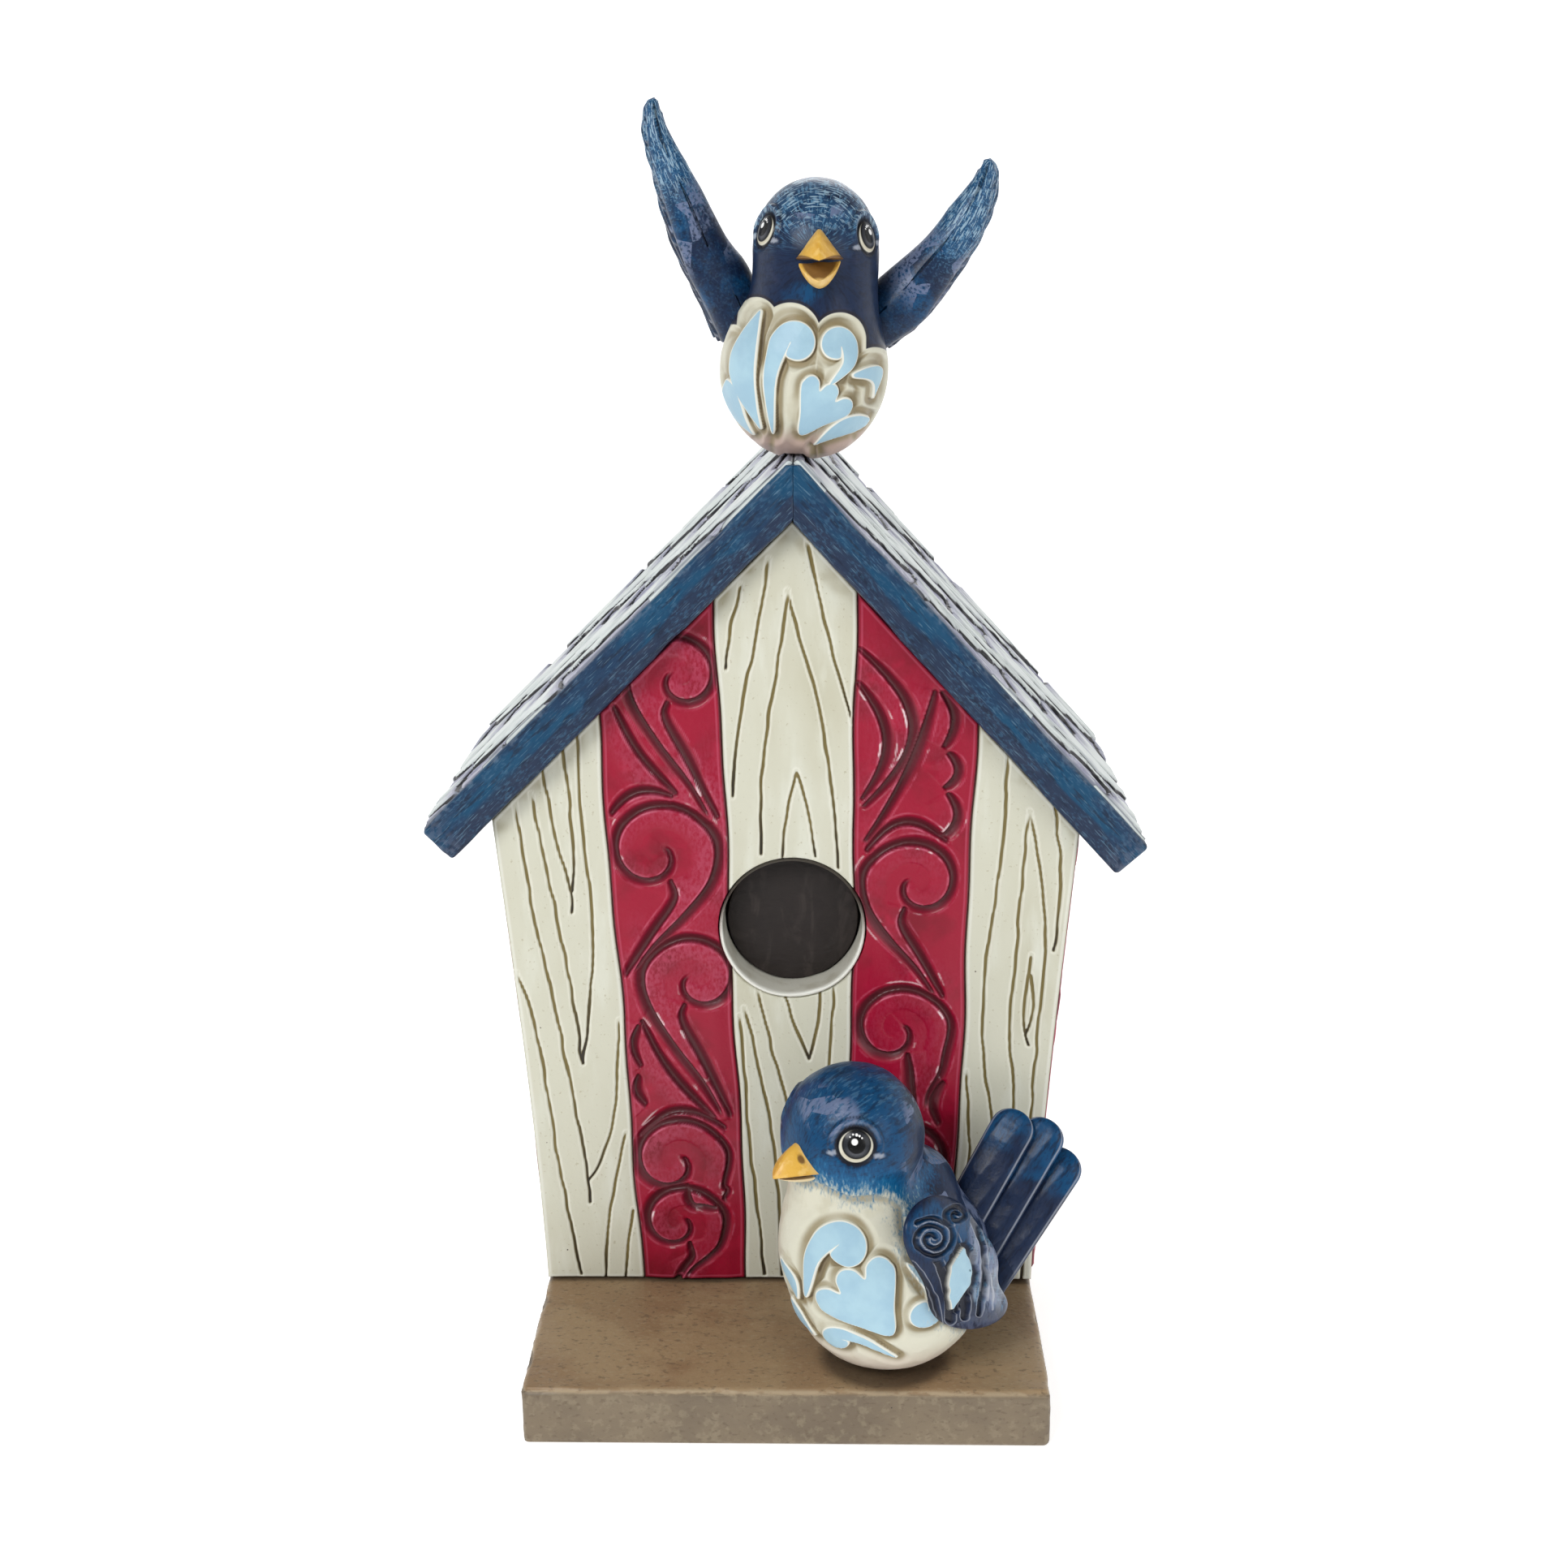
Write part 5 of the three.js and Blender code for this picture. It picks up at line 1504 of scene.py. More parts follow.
def roof_bird_body():
    def cream_of(points):
        x, _, z = points.T
        arches = [radius - np.hypot(x - at, np.maximum(z - top, 0)) for at, top, radius in ROOF_SCALLOPS]
        below = np.max(arches, axis=0) * 0.9
        front = -points[:, 1] - 1.5 + 0.8 * noise(points, 4, 160)
        return np.clip(np.minimum(below, front), -3, 3)

    def rub_and_light_of(points):
        x, y, z = points.T
        crown = 0.8 * smooth(z, 218, 227) + 0.5 * smooth(np.abs(x - 6) - 7, 0, 4) * smooth(z, 216, 223)
        # painted highlight: a band across the forehead
        shine = smooth(np.abs(z - 224.6), 1.6, 0.4) * smooth(np.abs(x - 6.5), 5.5, 3.0) * smooth(-y, 8, 12)
        throat = smooth(np.hypot(x - 5, z - 210.5), 5, 0.5) * smooth(-y, 8, 14)
        return {
            "rub": np.clip(crown + 0.3 * smooth(z, 215, 220), 0, 1),
            "shine": np.clip(shine, 0, 1),
            "glow": 0.3 * throat + 0.06 * smooth(z, 219, 227) - 0.04,
            # darker towards the bottom of the breast
            "blush": smooth(z, 187.5, 183.5),
        }

    def floor(points):
        x = points[:, 0]
        roof = roof_height(x, -ROOF["proud"] - GAP)
        return np.minimum(roof, ROOF["ridge"] + ROOF["proud"] + GAP)

    bird_body("ridge_bird_body", ROOF_BIRD, "roof_bird_body", ROOF_BIRD_PAINT, ROOF_BREAST, cream_of, rub_and_light_of,
              floor)


def base_bird_body():
    border = np.array(BASE_BORDER)
    flank = curve(BASE_FLANK)

    def cream_of(points):
        x, y, z = points.T
        top = np.interp(x, border[:, 0], border[:, 1])
        below = (top - z) * 0.9
        beside = (np.interp(z, flank[::-1, 1], flank[::-1, 0]) - x) * 0.8
        front = -y - 38.5 + 0.8 * noise(points, 4, 161)
        return np.clip(np.minimum(np.minimum(below, beside), front), -6, 6)

    def rub_and_light_of(points):
        x, _, z = points.T
        crown = 0.34 * smooth(z, 61, 67) + 0.22 * smooth(np.abs(z - 55), 4, 0.5)
        # painted highlight: a patch on the forehead, and flats on the body behind the head
        shine = smooth(np.hypot((x - 8.5) / 1.6, z - 67), 4.0, 2.8) + smooth(x, 21, 23.5)
        return {
            "rub": np.clip(crown, 0, 1),
            "shine": np.clip(shine, 0, 1),
            # glow: bluer around the head; painted shade on the body behind the head
            "glow": 0.52 * smooth(np.hypot((x - 13) / 1.1, z - 60), 16, 10) - 0.4 * smooth(x, 20, 24),
            # darker towards the bottom of the breast
            "blush": smooth(z, 24, 15) * 0.6,
        }

    bird_body("ledge_bird_body", BASE_BIRD, "base_bird_body", BASE_BIRD_PAINT, BASE_BREAST, cream_of, rub_and_light_of,
              lambda points: np.full(len(points), FOOT))


def beak(name, node, root, tip, outline, arch, fields_of):
    """Half a beak: its outline at the face, given across and upwards, drawn out to a rounded tip."""
    rows = 90
    section = curve(outline, closed=True, per_span=8)[:-1]
    around = len(section)
    s = np.linspace(0, 1, rows)[:, None]
    taper = np.maximum((1 - s**1.5) ** 0.85, 0.012)
    root, tip = np.array(root, float), np.array(tip, float)
    forward = unit(tip - root)
    side = unit(np.cross(forward, (0, 0, 1)))
    across, rise = section[:, 0] * taper, section[:, 1] * taper + arch * 4 * s * (1 - s)
    points = root + (s * np.ones(around)).reshape(-1, 1) * (tip - root) + across.reshape(-1, 1) * side
    points[:, 2] += rise.ravel()
    points += 0.07 * noise(points, 1.6, 170)[:, None] * side
    middle = np.tile(section[:, 0], rows) / np.abs(section[:, 0]).max()
    height = np.tile(section[:, 1], rows) / np.abs(section[:, 1]).max()
    fields = fields_of((s * np.ones(around)).ravel(), middle, height)
    piece(name, points, tube_faces(rows, around, inside_out=True), [node], "beak_yellow", YELLOW, fields)


def mirrored(half):
    """A closed outline from its right half, listed from the top to the bottom."""
    return half + [(-x, y) for x, y in half[::-1] if x > 0.01]


def beaks():
    def open_top(s, middle, height):
        # the brown underside inside the mouth, with painted shade deepening towards the root
        under = smooth(height, 0.14, 0.06)
        face = smooth(s, 0.5, 0.1)
        return {"pale": face * 0.25 * (1 - under), "wash": under, "ink": under * face}

    def open_low(s, middle, height):
        inner = smooth(height, -0.02, 0.04) * smooth(np.abs(middle), 0.93, 0.8) * smooth(s, 0.95, 0.8)
        # the brown inside of the mouth, with painted shade deepening towards the root
        return {"pale": smooth(s, 0.2, 0.9) * 0.25, "wash": inner, "ink": inner * smooth(s, 0.45, 0.0) * 0.6}

    def closed_top(s, middle, height):
        nostril = smooth(np.hypot((s - 0.32) / 0.07, (np.abs(middle) - 0.52) / 0.13), 1.5, 0.8)
        edge = smooth(height, 0.1, 0.0) * smooth(height, -0.4, 0.0)
        wash = np.maximum(nostril, edge * 0.7)
        return {"pale": smooth(s, 0.35, 0.05) * 0.3, "wash": wash, "ink": nostril * 0.5}

    def closed_low(s, middle, height):
        return {"pale": 0.75 + 0 * s, "wash": smooth(height, -0.25, 0.0) * 0.6, "ink": 0 * s}

    ridge = [(0, 5.4), (0.7, 5.0), (2.3, 2.9), (3.9, 0.7), (4.4, 0.1), (3.4, -0.2), (1.6, -0.2), (0, -0.1)]
    scoop = [(0, 0.8), (2.0, 0.45), (3.4, 0.25), (4.0, -0.1), (3.2, -2.0), (1.7, -3.6), (0, -4.2)]
    cap = [(0, 5.0), (0.9, 4.7), (2.9, 2.7), (4.6, 0.7), (4.9, 0.1), (3.6, -0.1), (1.8, 0.0), (0, 0.1)]
    chin = [(0, -0.1), (2.0, -0.1), (3.8, -0.1), (4.1, -0.4), (3.0, -1.3), (0, -1.7)]
    halves = [
        ("ridge_bird_beak_top", "roof_bird_beak_upper",
         (6.8, -17.2, 216.2), (6.8, -26.0, 216.4), ridge, 0.5, open_top),
        ("ridge_bird_beak_low", "roof_bird_beak_lower",
         (6.8, -17.2, 216.9), (6.8, -24.2, 212.9), scoop, -0.5, open_low),
        ("ledge_bird_beak_top", "base_bird_beak_upper",
         (3.5, -50.2, 55.9), (-1.8, -55.2, 55.7), cap, 0.35, closed_top),
        ("ledge_bird_beak_low", "base_bird_beak_lower",
         (3.5, -50.2, 55.5), (-0.6, -54.1, 55.1), chin, -0.1, closed_low),
    ]
    for name, node, root, tip, half, arch, fields_of in halves:
        beak(name, node, root, tip, mirrored(half), arch, fields_of)


# Each station gives x, z, the arm's radius and how far the feathers reach behind it.
ROOF_WINGS = {
    "left": {
        "trailing": (-0.3, 0.95, 0),
        "normal": (0.88, 0.28, 0.38),
        "stations": [
            (-7.2, 203.0, 5.4, 22), (-10.8, 211.5, 5.5, 22), (-14.6, 218.2, 5.0, 20), (-18.0, 226.2, 4.3, 16),
            (-20.7, 232.6, 3.1, 11), (-23.2, 239.4, 2.4, 6), (-23.8, 244.7, 1.1, 2.5),
        ],
    },
    "right": {
        "trailing": (0.3, 0.95, 0),
        "normal": (0.7, -0.22, -0.68),
        "stations": [
            (15.5, 203.0, 5.4, 22), (21.0, 207.6, 5.8, 22), (26.6, 213.6, 5.2, 19), (32.0, 220.2, 4.3, 15),
            (36.2, 227.2, 3.2, 10), (38.3, 233.4, 1.3, 4),
        ],
    },
}


def navy_fields(count, cream, **painted):
    """The bird paint's fields on a piece without a breast."""
    plain = {"cream": cream, "blue": 3.0, "wash": 0.0, "ink": 0.0, "blush": 0.0}
    fields = {key: np.full(count, value) for key, value in plain.items()}
    fields.update(painted)
    return fields


def roof_wings():
    """Raised wings: a thick rounded arm in front and overlapping feathers behind it."""
    for hand, wing in ROOF_WINGS.items():
        rows, half = 230, 90
        stations = curve(wing["stations"], per_span=60)
        place = np.linspace(0, len(stations) - 1, rows)
        index = np.arange(len(stations))
        x, z, radius, chord = (np.interp(place, index, stations[:, k])[:, None] for k in range(4))
        s = np.linspace(0, 1, rows)[:, None]
        close = np.sqrt(np.clip((1 - s) / 0.03, 0, 1))
        radius, chord = radius * (0.08 + 0.92 * close), chord * (0.3 + 0.7 * close)
        turn = np.linspace(0, math.pi, half)
        part = (1 - np.cos(turn)) / 2
        nose = 0.8 * radius
        back = -nose + (nose + chord) * part
        rear = np.clip(back / np.maximum(chord, 1e-6), 0, 1)
        row = s * 8.0 - 2.6 * rear * (1 - 0.4 * s)
        step = row % 1.0
        back = back - smooth(rear, 0.2, 1.0) * np.minimum(chord, 9) * 0.17 * (1 - step) ** 2
        flat_back = (1 - rear) ** 0.85 * 0.86 + 0.14 * (1 - rear**2)
        thick = radius * np.where(back < 0, np.sqrt(np.clip(1 - (back / nose) ** 2, 0, 1)), flat_back)
        thick = thick + 0.55 * smooth(rear, 0.2, 0.6) * np.sqrt(np.clip(1 - rear**8, 0, 1))
        tier = smooth(rear, 0.04, 0.16)
        groove = smooth(np.minimum(step, 1 - step), 0.11, 0.0) * tier
        arm = smooth(np.abs(rear - 0.1 - 0.03 * np.sin(14 * s)), 0.035, 0.0) * smooth(s, 0.9, 0.7)
        shaft = smooth(np.abs(step - 0.5), 0.06, 0.0) * smooth(rear, 0.2, 0.4) * 0.5
        carve = np.maximum(np.maximum(groove, arm * 0.6), shaft)
        fade = smooth(s, 1.0, 0.93)
        thick = thick - 0.75 * carve * fade + 0.35 * step * tier * fade
        flats = 0.45 * np.abs(np.sin(7.5 * s + 1.3)) * (1 - tier)
        thick = thick - flats * fade
        trailing, normal = unit(wing["trailing"]), unit(wing["normal"])
        spine = np.stack([x + 0 * part, 0.5 + 0 * x + 0 * part, z + 0 * part], axis=-1)
        top = spine + back[..., None] * trailing + thick[..., None] * normal
        low = spine + back[..., None] * trailing - thick[..., None] * normal
        loops = np.concatenate([top, low[:, -2:0:-1]], axis=1)
        points = loops.reshape(-1, 3)
        around = loops.shape[1]

        def both(values):
            values = values + 0 * back
            return np.concatenate([values, values[:, -2:0:-1]], axis=1).ravel()

        outward = np.cross(trailing, normal) @ [stations[-1, 0] - stations[0, 0], 0, 1.0]
        points = points + 0.15 * noise(points, 5, 180)[:, None] * normal
        tip = both(smooth(s, 0.38, 0.85))
        outline = smooth(np.abs(np.minimum(step, 1 - step) - 0.17), 0.07, 0.0) * tier * fade
        fields = navy_fields(
            len(points), -3.0,
            ink=both(carve * fade) * 0.85,
            chalk=both(outline * 0.6 + 0.5 * smooth(rear, 0.96, 1.0) * fade),
            rub=np.clip(0.2 + 1.3 * tip + 0.4 * both(smooth(rear, 0.5, 0.9)), 0, 1),
            # painted highlight patches along the middle of the wing's arm
            shine=both(smooth(np.abs(s - 0.42), 0.2, 0.08) * smooth(rear, 0.3, 0.1)),
            # glow: painted light, bluer towards the wing tips
            glow=0.25 * tip + 0.12,
            grain=np.column_stack([both(back + thick), both(s * 46), both(thick)]),
        )
        piece(f"ridge_bird_wing_{hand}", points, tube_faces(rows, around, inside_out=outward < 0),
              [f"roof_bird_wing_{hand}"], "bird_navy", ROOF_BIRD_PAINT, fields)


def tail(name, node, feathers, facing, halves, thickness, paint):
    """A fan of thick rounded feathers, faceted, each with light lines near its edges."""
    all_points, all_faces, all_fields = [], [], []
    rows, around = 150, 110
    for number, (root, tip) in enumerate(feathers):
        root, tip = np.array(root, float), np.array(tip, float)
        reach = np.linalg.norm(tip - root)
        forward = (tip - root) / reach
        side = unit(np.cross(facing, forward))
        up = np.cross(forward, side)
        s = np.linspace(0, 1, rows)[:, None]
        run = -halves[0] + (reach + halves[0] + halves[1]) * (1 - np.cos(s * math.pi)) / 2
        half = halves[0] + (halves[1] - halves[0]) * np.clip(run / reach, 0, 1)
        before = np.clip(-run / halves[0], 0, 1)
        after = np.clip((run - reach) / halves[1], 0, 1)
        half = half * np.sqrt(np.clip(1 - before**2, 0, 1)) * np.sqrt(np.clip(1 - after**2.4, 0, 1))
        half = np.maximum(half, 0.02)
        angle = np.linspace(0, 2 * math.pi, around, endpoint=False)
        across = half * np.sign(np.cos(angle)) * np.abs(np.cos(angle)) ** 0.8
        flatness = np.abs(np.sin(angle)) ** 0.62 * np.sign(np.sin(angle))
        thin = thickness / 2 * np.sqrt(np.clip(half / halves[0], 0, 1)) * (1 - 0.25 * after)
        rise = thin * flatness
        flats = 0.2 * np.abs(np.sin(run * 0.4 + 2 * number))
        flats = flats + 0.12 * np.abs(np.sin(across * 0.9 + run * 0.15))
        rise = rise - np.sign(rise) * flats * np.minimum(np.abs(rise), 1)
        points = root + (run * np.ones_like(angle)).reshape(-1, 1) * forward + across.reshape(-1, 1) * side
        points = points + rise.reshape(-1, 1) * up
        points += 0.15 * noise(points, 5, 190 + number)[:, None] * up
        start = number * rows * around
        all_faces += [[i + start for i in face] for face in tube_faces(rows, around)]
        all_points.append(points)
        edge = smooth(np.abs(np.abs(across) / np.maximum(half, 0.1) - 0.92), 0.05, 0.015) * smooth(run, 3, 7)
        # towards the tips: dry-brush and painted light; at the roots: painted shade and painted sheen
        tip_rub_and_light = smooth(run + 0 * across, reach * 0.55, reach * 1.05)
        root_sheen_and_shade = smooth(run + 0 * across, reach * 0.42, 0.0)
        all_fields.append(navy_fields(
            len(points), -9.0,
            chalk=(0.5 * edge * (1 - root_sheen_and_shade)).ravel(),
            rub=(0.1 * tip_rub_and_light).ravel(),
            # painted highlight patches near the feather roots
            shine=(0.6 * root_sheen_and_shade).ravel(),
            # glow: painted light towards the tips, painted shade at the roots
            glow=(0.34 * tip_rub_and_light - 0.25 * root_sheen_and_shade - 0.02).ravel(),
            grain=np.column_stack([(run + 0 * across).ravel(), across.ravel(), rise.ravel()]),
        ))
    fields = {key: np.concatenate([part[key] for part in all_fields]) for key in all_fields[0]}
    piece(name, np.vstack(all_points), all_faces, [node], "bird_navy", paint, fields)


def tails():
    tail(
        "ridge_bird_tail", "roof_bird_tail",
        [((0.5, 13, 193.5), (-4.6, 37, 204)), ((3.9, 13, 193.5), (3.9, 39, 205)),
         ((7.3, 13, 193.5), (12.4, 37, 204))],
        (0, -0.4, 0.92), (3.8, 4.3), 4.0, ROOF_BIRD_PAINT,
    )
    tail(
        "ledge_bird_tail", "base_bird_tail",
        [((31, -35.5, 31), (43.8, -27.4, 51.8)), ((34.5, -35.5, 25.5), (49.7, -26.6, 49.6)),
         ((37.5, -35.5, 21.5), (53.4, -26.2, 43))],
        (-0.35, -0.93, 0.2), (4.2, 4.4), 4.2, BASE_BIRD_PAINT,
    )


# The folded wing as seen from the front: a shoulder, a middle and the feather tips, blended like a body.
FOLDED_WING = {
    "lumps": [
        ((29.0, 0, 38.0), (6.5, 6, 8.0)),
        ((33.0, 0, 31.0), (7.0, 6, 8.5)),
        ((35.0, 0, 22.5), (7.0, 6, 5.0)),
    ],
    "heart": (32.5, 0, 30.5),
}
WING_LEAF = petal(34, 35, 32, 22, 2, 0.5, 0.9)
WING_SCROLLS = [(28.0, 37.0, 4.0, 4.6), (32.5, 42.0, 2.0, 3.2)]
WING_FEATHERS = 4


def wing_channels():
    """Lines that fan out from the shoulder to the feather tips, and how wide each is cut."""
    for share in np.linspace(0, 1, WING_FEATHERS):
        start, end = (24 + 11 * share, 31 + 12 * share), (29 + 8 * share, 19 + 2 * share)
        yield stroke(*start, *end, 1.0 + share), 1.1 - 0.5 * share


def wing_barbs():
    """Fine light lines down the outer feathers."""
    for number in range(WING_FEATHERS):
        yield stroke(36 + 0.8 * number, 40 - 3 * number, 37 + 0.8 * number, 28 - 2 * number, 0.6)


def wing_marks(flat, seed):
    """Carved scrolls, a light-blue panel and feather barbs, in the plane the outline is drawn in."""
    shaky = flat + 0.18 * np.column_stack([noise(flat, 1.3, seed), noise(flat, 1.3, seed + 1)])
    blue = to_shape(shaky, curve(WING_LEAF, closed=True, per_span=5), 3.0)
    dark = smooth(np.abs(blue - 0.62), 0.75, 0.4)
    light = np.zeros(len(flat))
    open_field = np.ones(len(flat))
    for x, z, size, laps in WING_SCROLLS:
        open_field *= smooth(np.hypot(flat[:, 0] - x, flat[:, 1] - z), size + 0.6, size + 1.4)
        turn = np.linspace(0.3, laps * math.pi, 90)
        reach = 0.12 * size + size * (turn / turn[-1]) ** 0.9
        line = np.column_stack([x + reach * np.cos(turn + 0.4), z + reach * np.sin(turn + 0.4)])
        distance, side, _ = to_line(shaky, line, 2.0)
        dark = np.maximum(dark, smooth(distance, 0.62, 0.2) * 0.95)
        light = np.maximum(light, smooth(np.abs(distance - 0.7), 0.16, 0.04) * np.where(side > 0, 0.75, 0.15))
    for line, width in wing_channels():
        distance, _, _ = to_line(shaky, line, 2.4)
        dark = np.maximum(dark, smooth(distance, width + 0.12, width * 0.6) * open_field)
        light = np.maximum(light, smooth(np.abs(distance - width - 0.16), 0.14, 0.03) * 0.5 * open_field)
        light = np.maximum(light, smooth(distance, 0.2, 0.05) * 0.5 * (width > 1) * open_field)
    for line in wing_barbs():
        distance, _, along = to_line(shaky, line, 1.2)
        light = np.maximum(light, smooth(distance, 0.26, 0.08) * 0.6 * smooth(along, 0, 0.2))
    dark *= smooth(blue, -0.02, 0.08)
    inner = smooth(blue, 1.2, 1.6)
    light *= np.maximum(1 - dark * 0.5, 0.5) * np.maximum(inner, smooth(blue, 0.3, 0.5) * 0.6)
    return blue, dark, light


def wing_axes(along, facing):
    x_axis = unit(along)
    y_axis = unit(np.cross(facing, x_axis))
    return np.stack([x_axis, y_axis, np.cross(x_axis, y_axis)])


NEAR_WING = {"centre": np.array([32.4, -51.8, 36.0]), "axes": wing_axes((13, 9.5, -19), (0.76, -0.6, 0.24))}


def to_wing(flat):
    """Points as seen from the front, moved along the viewer's lines to the near wing's middle plane."""
    centre, axes = NEAR_WING["centre"], NEAR_WING["axes"]
    far = np.column_stack([flat[:, 0], np.full(len(flat), WING_PLANE), flat[:, 1]]) - VIEWER
    reach = ((centre - VIEWER) @ axes[2]) / (far @ axes[2])
    return (VIEWER + far * reach[:, None] - centre) @ axes[:2].T


def folded_wing(name, node, centre, axes, depth, near):
    """A folded wing: a puffed shape with that outline, carved on its outer face. The far one is mirrored."""
    turn = np.linspace(-math.pi, math.pi, 240, endpoint=False)
    rays = np.column_stack([np.cos(turn), 0 * turn, np.sin(turn)])
    outline = to_wing(on_skin(FOLDED_WING, rays)[:, [0, 2]])
    hub = to_wing(np.array([FOLDED_WING["heart"]])[:, [0, 2]])[0]
    away = outline - hub
    bearing, distance = np.arctan2(away[:, 1], away[:, 0]), np.linalg.norm(away, axis=1)
    order = np.argsort(bearing)
    around, rings = 460, 105
    angle = np.linspace(-math.pi, math.pi, around, endpoint=False)
    edge = np.interp(angle, bearing[order], distance[order], period=2 * math.pi)
    ring = np.sin(np.linspace(0.01, 1, rings) * math.pi / 2)[:, None]
    flat = np.column_stack([(hub[0] + ring * edge * np.cos(angle)).ravel(),
                            (hub[1] + ring * edge * np.sin(angle)).ravel()])
    puff = (np.sqrt(np.clip(1 - ring**2.6, 0, 1)) + 0 * angle).ravel()[:, None]
    local = flat * ([1.0, 1.0] if near else [0.8, -0.8])
    front = centre + local @ axes[:2] + depth * puff * axes[2]
    back = centre + local @ axes[:2] - 0.55 * depth * puff * axes[2]
    drawn = seen_from_front(front if near else NEAR_WING["centre"] + flat @ NEAR_WING["axes"][:2], WING_PLANE)
    blue, dark, light = wing_marks(drawn, 200)
    rim = smooth((1 - ring) * edge, 0.1, 0.9).ravel()
    lift = (-0.7 * dark + 0.25 * light + 0.15 * noise(drawn, 4, 204)) * rim
    front = front + lift[:, None] * axes[2]
    count = len(front)
    quads = grid_faces(rings, around, wrap=True)
    last = np.arange(count - around, count)
    following = np.roll(last, -1)
    wall = np.column_stack([last, last + count, following + count, following])
    hubs = [list(range(around)), list(range(count, count + around))[::-1]]
    faces = quads.tolist() + (quads[:, ::-1] + count).tolist() + wall.tolist() + hubs
    if not near:
        faces = [face[::-1] for face in faces]
    x, z = drawn.T
    feathers = smooth(x - 0.08 * (36 - z), 34.6, 35.6) * smooth(z, 20, 24)
    streaks = smooth(noise(drawn * [1, 0.3], 1.1, 208), 0.0, 0.4)
    plain, zero = np.ones(count), np.zeros(count)
    glow = 0.4 * smooth(np.hypot(x - 29, z - 37.5), 9, 5) - 0.1
    sides = {
        "cream": (smooth(blue, 0.5, 0.2) * 6 - 3, -3 * plain),
        "blue": (blue, blue + 3),
        "wash": (zero, zero),
        "ink": (dark * 0.9, dark * 0.9),
        "chalk": (np.clip(light + feathers * 0.35 * streaks, 0, 1), zero),
        "rub": (feathers * 0.6, zero),
        # painted highlight patches on the outer feathers and towards the lower tip
        "shine": (np.clip(feathers + 0.4 * smooth(z, 22, 18), 0, 1),) * 2,
        "glow": (glow, glow),
        "blush": (zero, zero),
        "grain": (np.column_stack([z, x, zero]),) * 2,
    }
    fields = {key: np.concatenate(pair) for key, pair in sides.items()}
    piece(name, np.vstack([front, back]), faces, [node], "bird_navy", BASE_WING_PAINT, fields)


def birds():
    for bird, label in ((ROOF_BIRD, "ridge_bird"), (BASE_BIRD, "ledge_bird")):
        bird["eyes"] = [(eye_place(bird, towards), forward) for towards, forward in bird["looks"]]
        for (place, forward), word in zip(bird["eyes"], ("a", "b")):
            eye(f"{label}_eye_{word}", place, bird["eye_size"], forward)
    roof_bird_body()
    base_bird_body()
    beaks()
    roof_wings()
    tails()
    folded_wing("ledge_bird_wing_near", "base_bird_wing_near", np.array([32.4, -51.5, 36.0]),
                NEAR_WING["axes"], 3.3, near=True)
    folded_wing("ledge_bird_wing_far", "base_bird_wing_far", np.array([26, -29.8, 37]),
                wing_axes((14, -2, -17), (0.35, 0.9, 0.3)), 3.4, near=False)


# ---------- carried-over CAD nodes ----------
def finish_cad_nodes():
    for obj in bpy.context.scene.objects:
        if obj.type != "MESH" or "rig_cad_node" not in obj:
            continue
        if obj.name.startswith("house_shell"):
            paint = CASTING
        elif "pin" in obj.name:
            paint = STEEL
        else:
            continue
        if not obj.material_slots:
            obj.data.materials.append(paint)
        for slot in obj.material_slots:
            slot.material = paint


# ---------- the set ----------
def camera():
    pitch, yaw, roll = math.radians(16.05), math.radians(1.45), math.radians(-0.45)
    forward = Vector((-math.sin(yaw) * math.cos(pitch), math.cos(yaw) * math.cos(pitch), -math.sin(pitch)))
    level = Vector((math.cos(yaw), math.sin(yaw), 0))
    above = level.cross(forward)
    right = level * math.cos(roll) + above * math.sin(roll)
    up = above * math.cos(roll) - level * math.sin(roll)
    data = bpy.data.cameras.new("camera")
    data.sensor_width = 36.0
    data.lens = 45.86
    data.clip_start = 0.01
    obj = bpy.data.objects.new("camera", data)
    turn = Matrix((right, up, -forward)).transposed().to_4x4()
    obj.matrix_world = Matrix.Translation(Vector(VIEWER) * MM) @ turn
    bpy.context.scene.collection.objects.link(obj)
    bpy.context.scene.camera = obj


def area_light(name, at, target, size, power):
    data = bpy.data.lights.new(name, "AREA")
    data.shape = "DISK"
    data.size = size * MM
    data.energy = power
    obj = bpy.data.objects.new(name, data)
    obj.location = Vector(at) * MM
    obj.rotation_euler = (Vector(target) - Vector(at)).to_track_quat("-Z", "Y").to_euler()
    bpy.context.scene.collection.objects.link(obj)


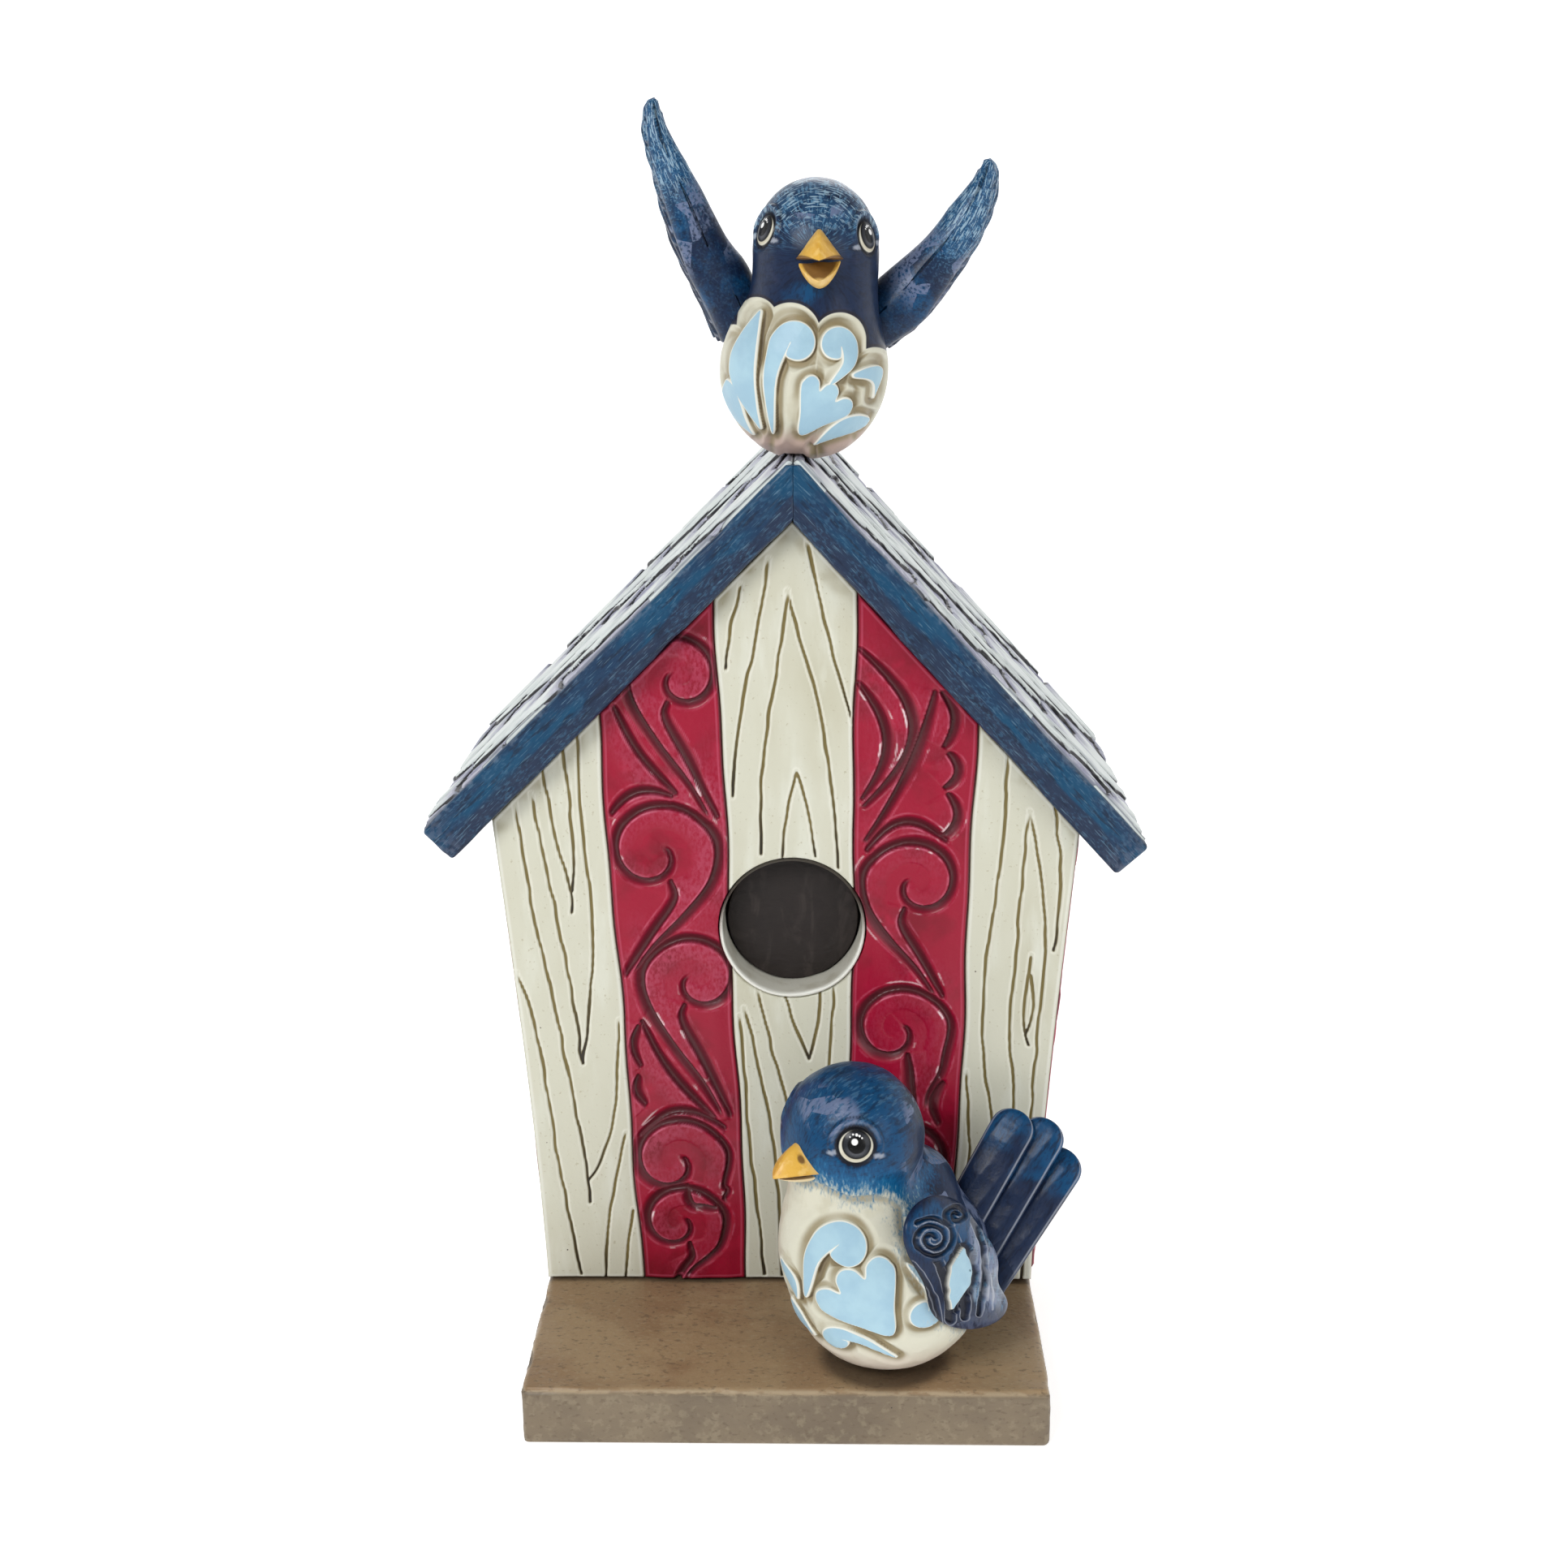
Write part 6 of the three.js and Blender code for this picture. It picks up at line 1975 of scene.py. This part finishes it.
def studio():
    world = bpy.data.worlds.new("studio")
    world.use_nodes = True
    background = world.node_tree.nodes["Background"]
    background.inputs["Color"].default_value = (1, 1, 1, 1)
    background.inputs["Strength"].default_value = 0.26
    bpy.context.scene.world = world
    bpy.context.scene.view_settings.view_transform = "Standard"
    area_light("key", (-260, -520, 520), (0, 0, 110), 300, 2.5)
    area_light("fill", (420, -420, 260), (0, 0, 110), 380, 0.7)
    area_light("back", (60, 480, 520), (0, 0, 140), 400, 0.9)


def backdrop():
    """A round floor whose rim curves up. It glows a little behind the house, where it stays plain white."""
    turns, rings = 96, 60
    run = np.linspace(0, 1, rings)[:, None]
    angle = np.linspace(0, 2 * math.pi, turns, endpoint=False)
    reach = 2200 * run
    rise = 1500 * smooth(run, 0.6, 1.0) ** 1.5 - 0.05
    points = np.column_stack([(reach * np.cos(angle)).ravel(), (reach * np.sin(angle)).ravel(),
                              (rise + 0 * angle).ravel()])
    mesh = bpy.data.meshes.new("floor")
    mesh.from_pydata((points * MM).tolist(), [], grid_faces(rings, turns, wrap=True).tolist())
    mesh.polygons.foreach_set("use_smooth", np.ones(len(mesh.polygons), bool))
    material = bpy.data.materials.new("floor_white")
    material.use_nodes = True
    shader = material.node_tree.nodes["Principled BSDF"]
    shader.inputs["Base Color"].default_value = (0.9, 0.9, 0.9, 1)
    shader.inputs["Roughness"].default_value = 0.9
    shader.inputs["Specular IOR Level"].default_value = 0.1
    shader.inputs["Emission Color"].default_value = (1, 1, 1, 1)
    glow = material.node_tree.nodes.new("ShaderNodeAttribute")
    glow.attribute_name = "glow"
    material.node_tree.links.new(glow.outputs["Fac"], shader.inputs["Emission Strength"])
    layer = mesh.attributes.new("glow", "FLOAT", "POINT")
    layer.data.foreach_set("value", (0.6 * smooth(points[:, 1], -400, -80)).astype(np.float32))
    mesh.materials.append(material)
    floor = bpy.data.objects.new("floor", mesh)
    bpy.context.scene.collection.objects.link(floor)


camera()
studio()
backdrop()
front_boards()
side_boards()
back_boards()
entrance_lining()
entrance_disc()
roof_slabs()
roof_carvings()
plinth()
birds()
finish_cad_nodes()
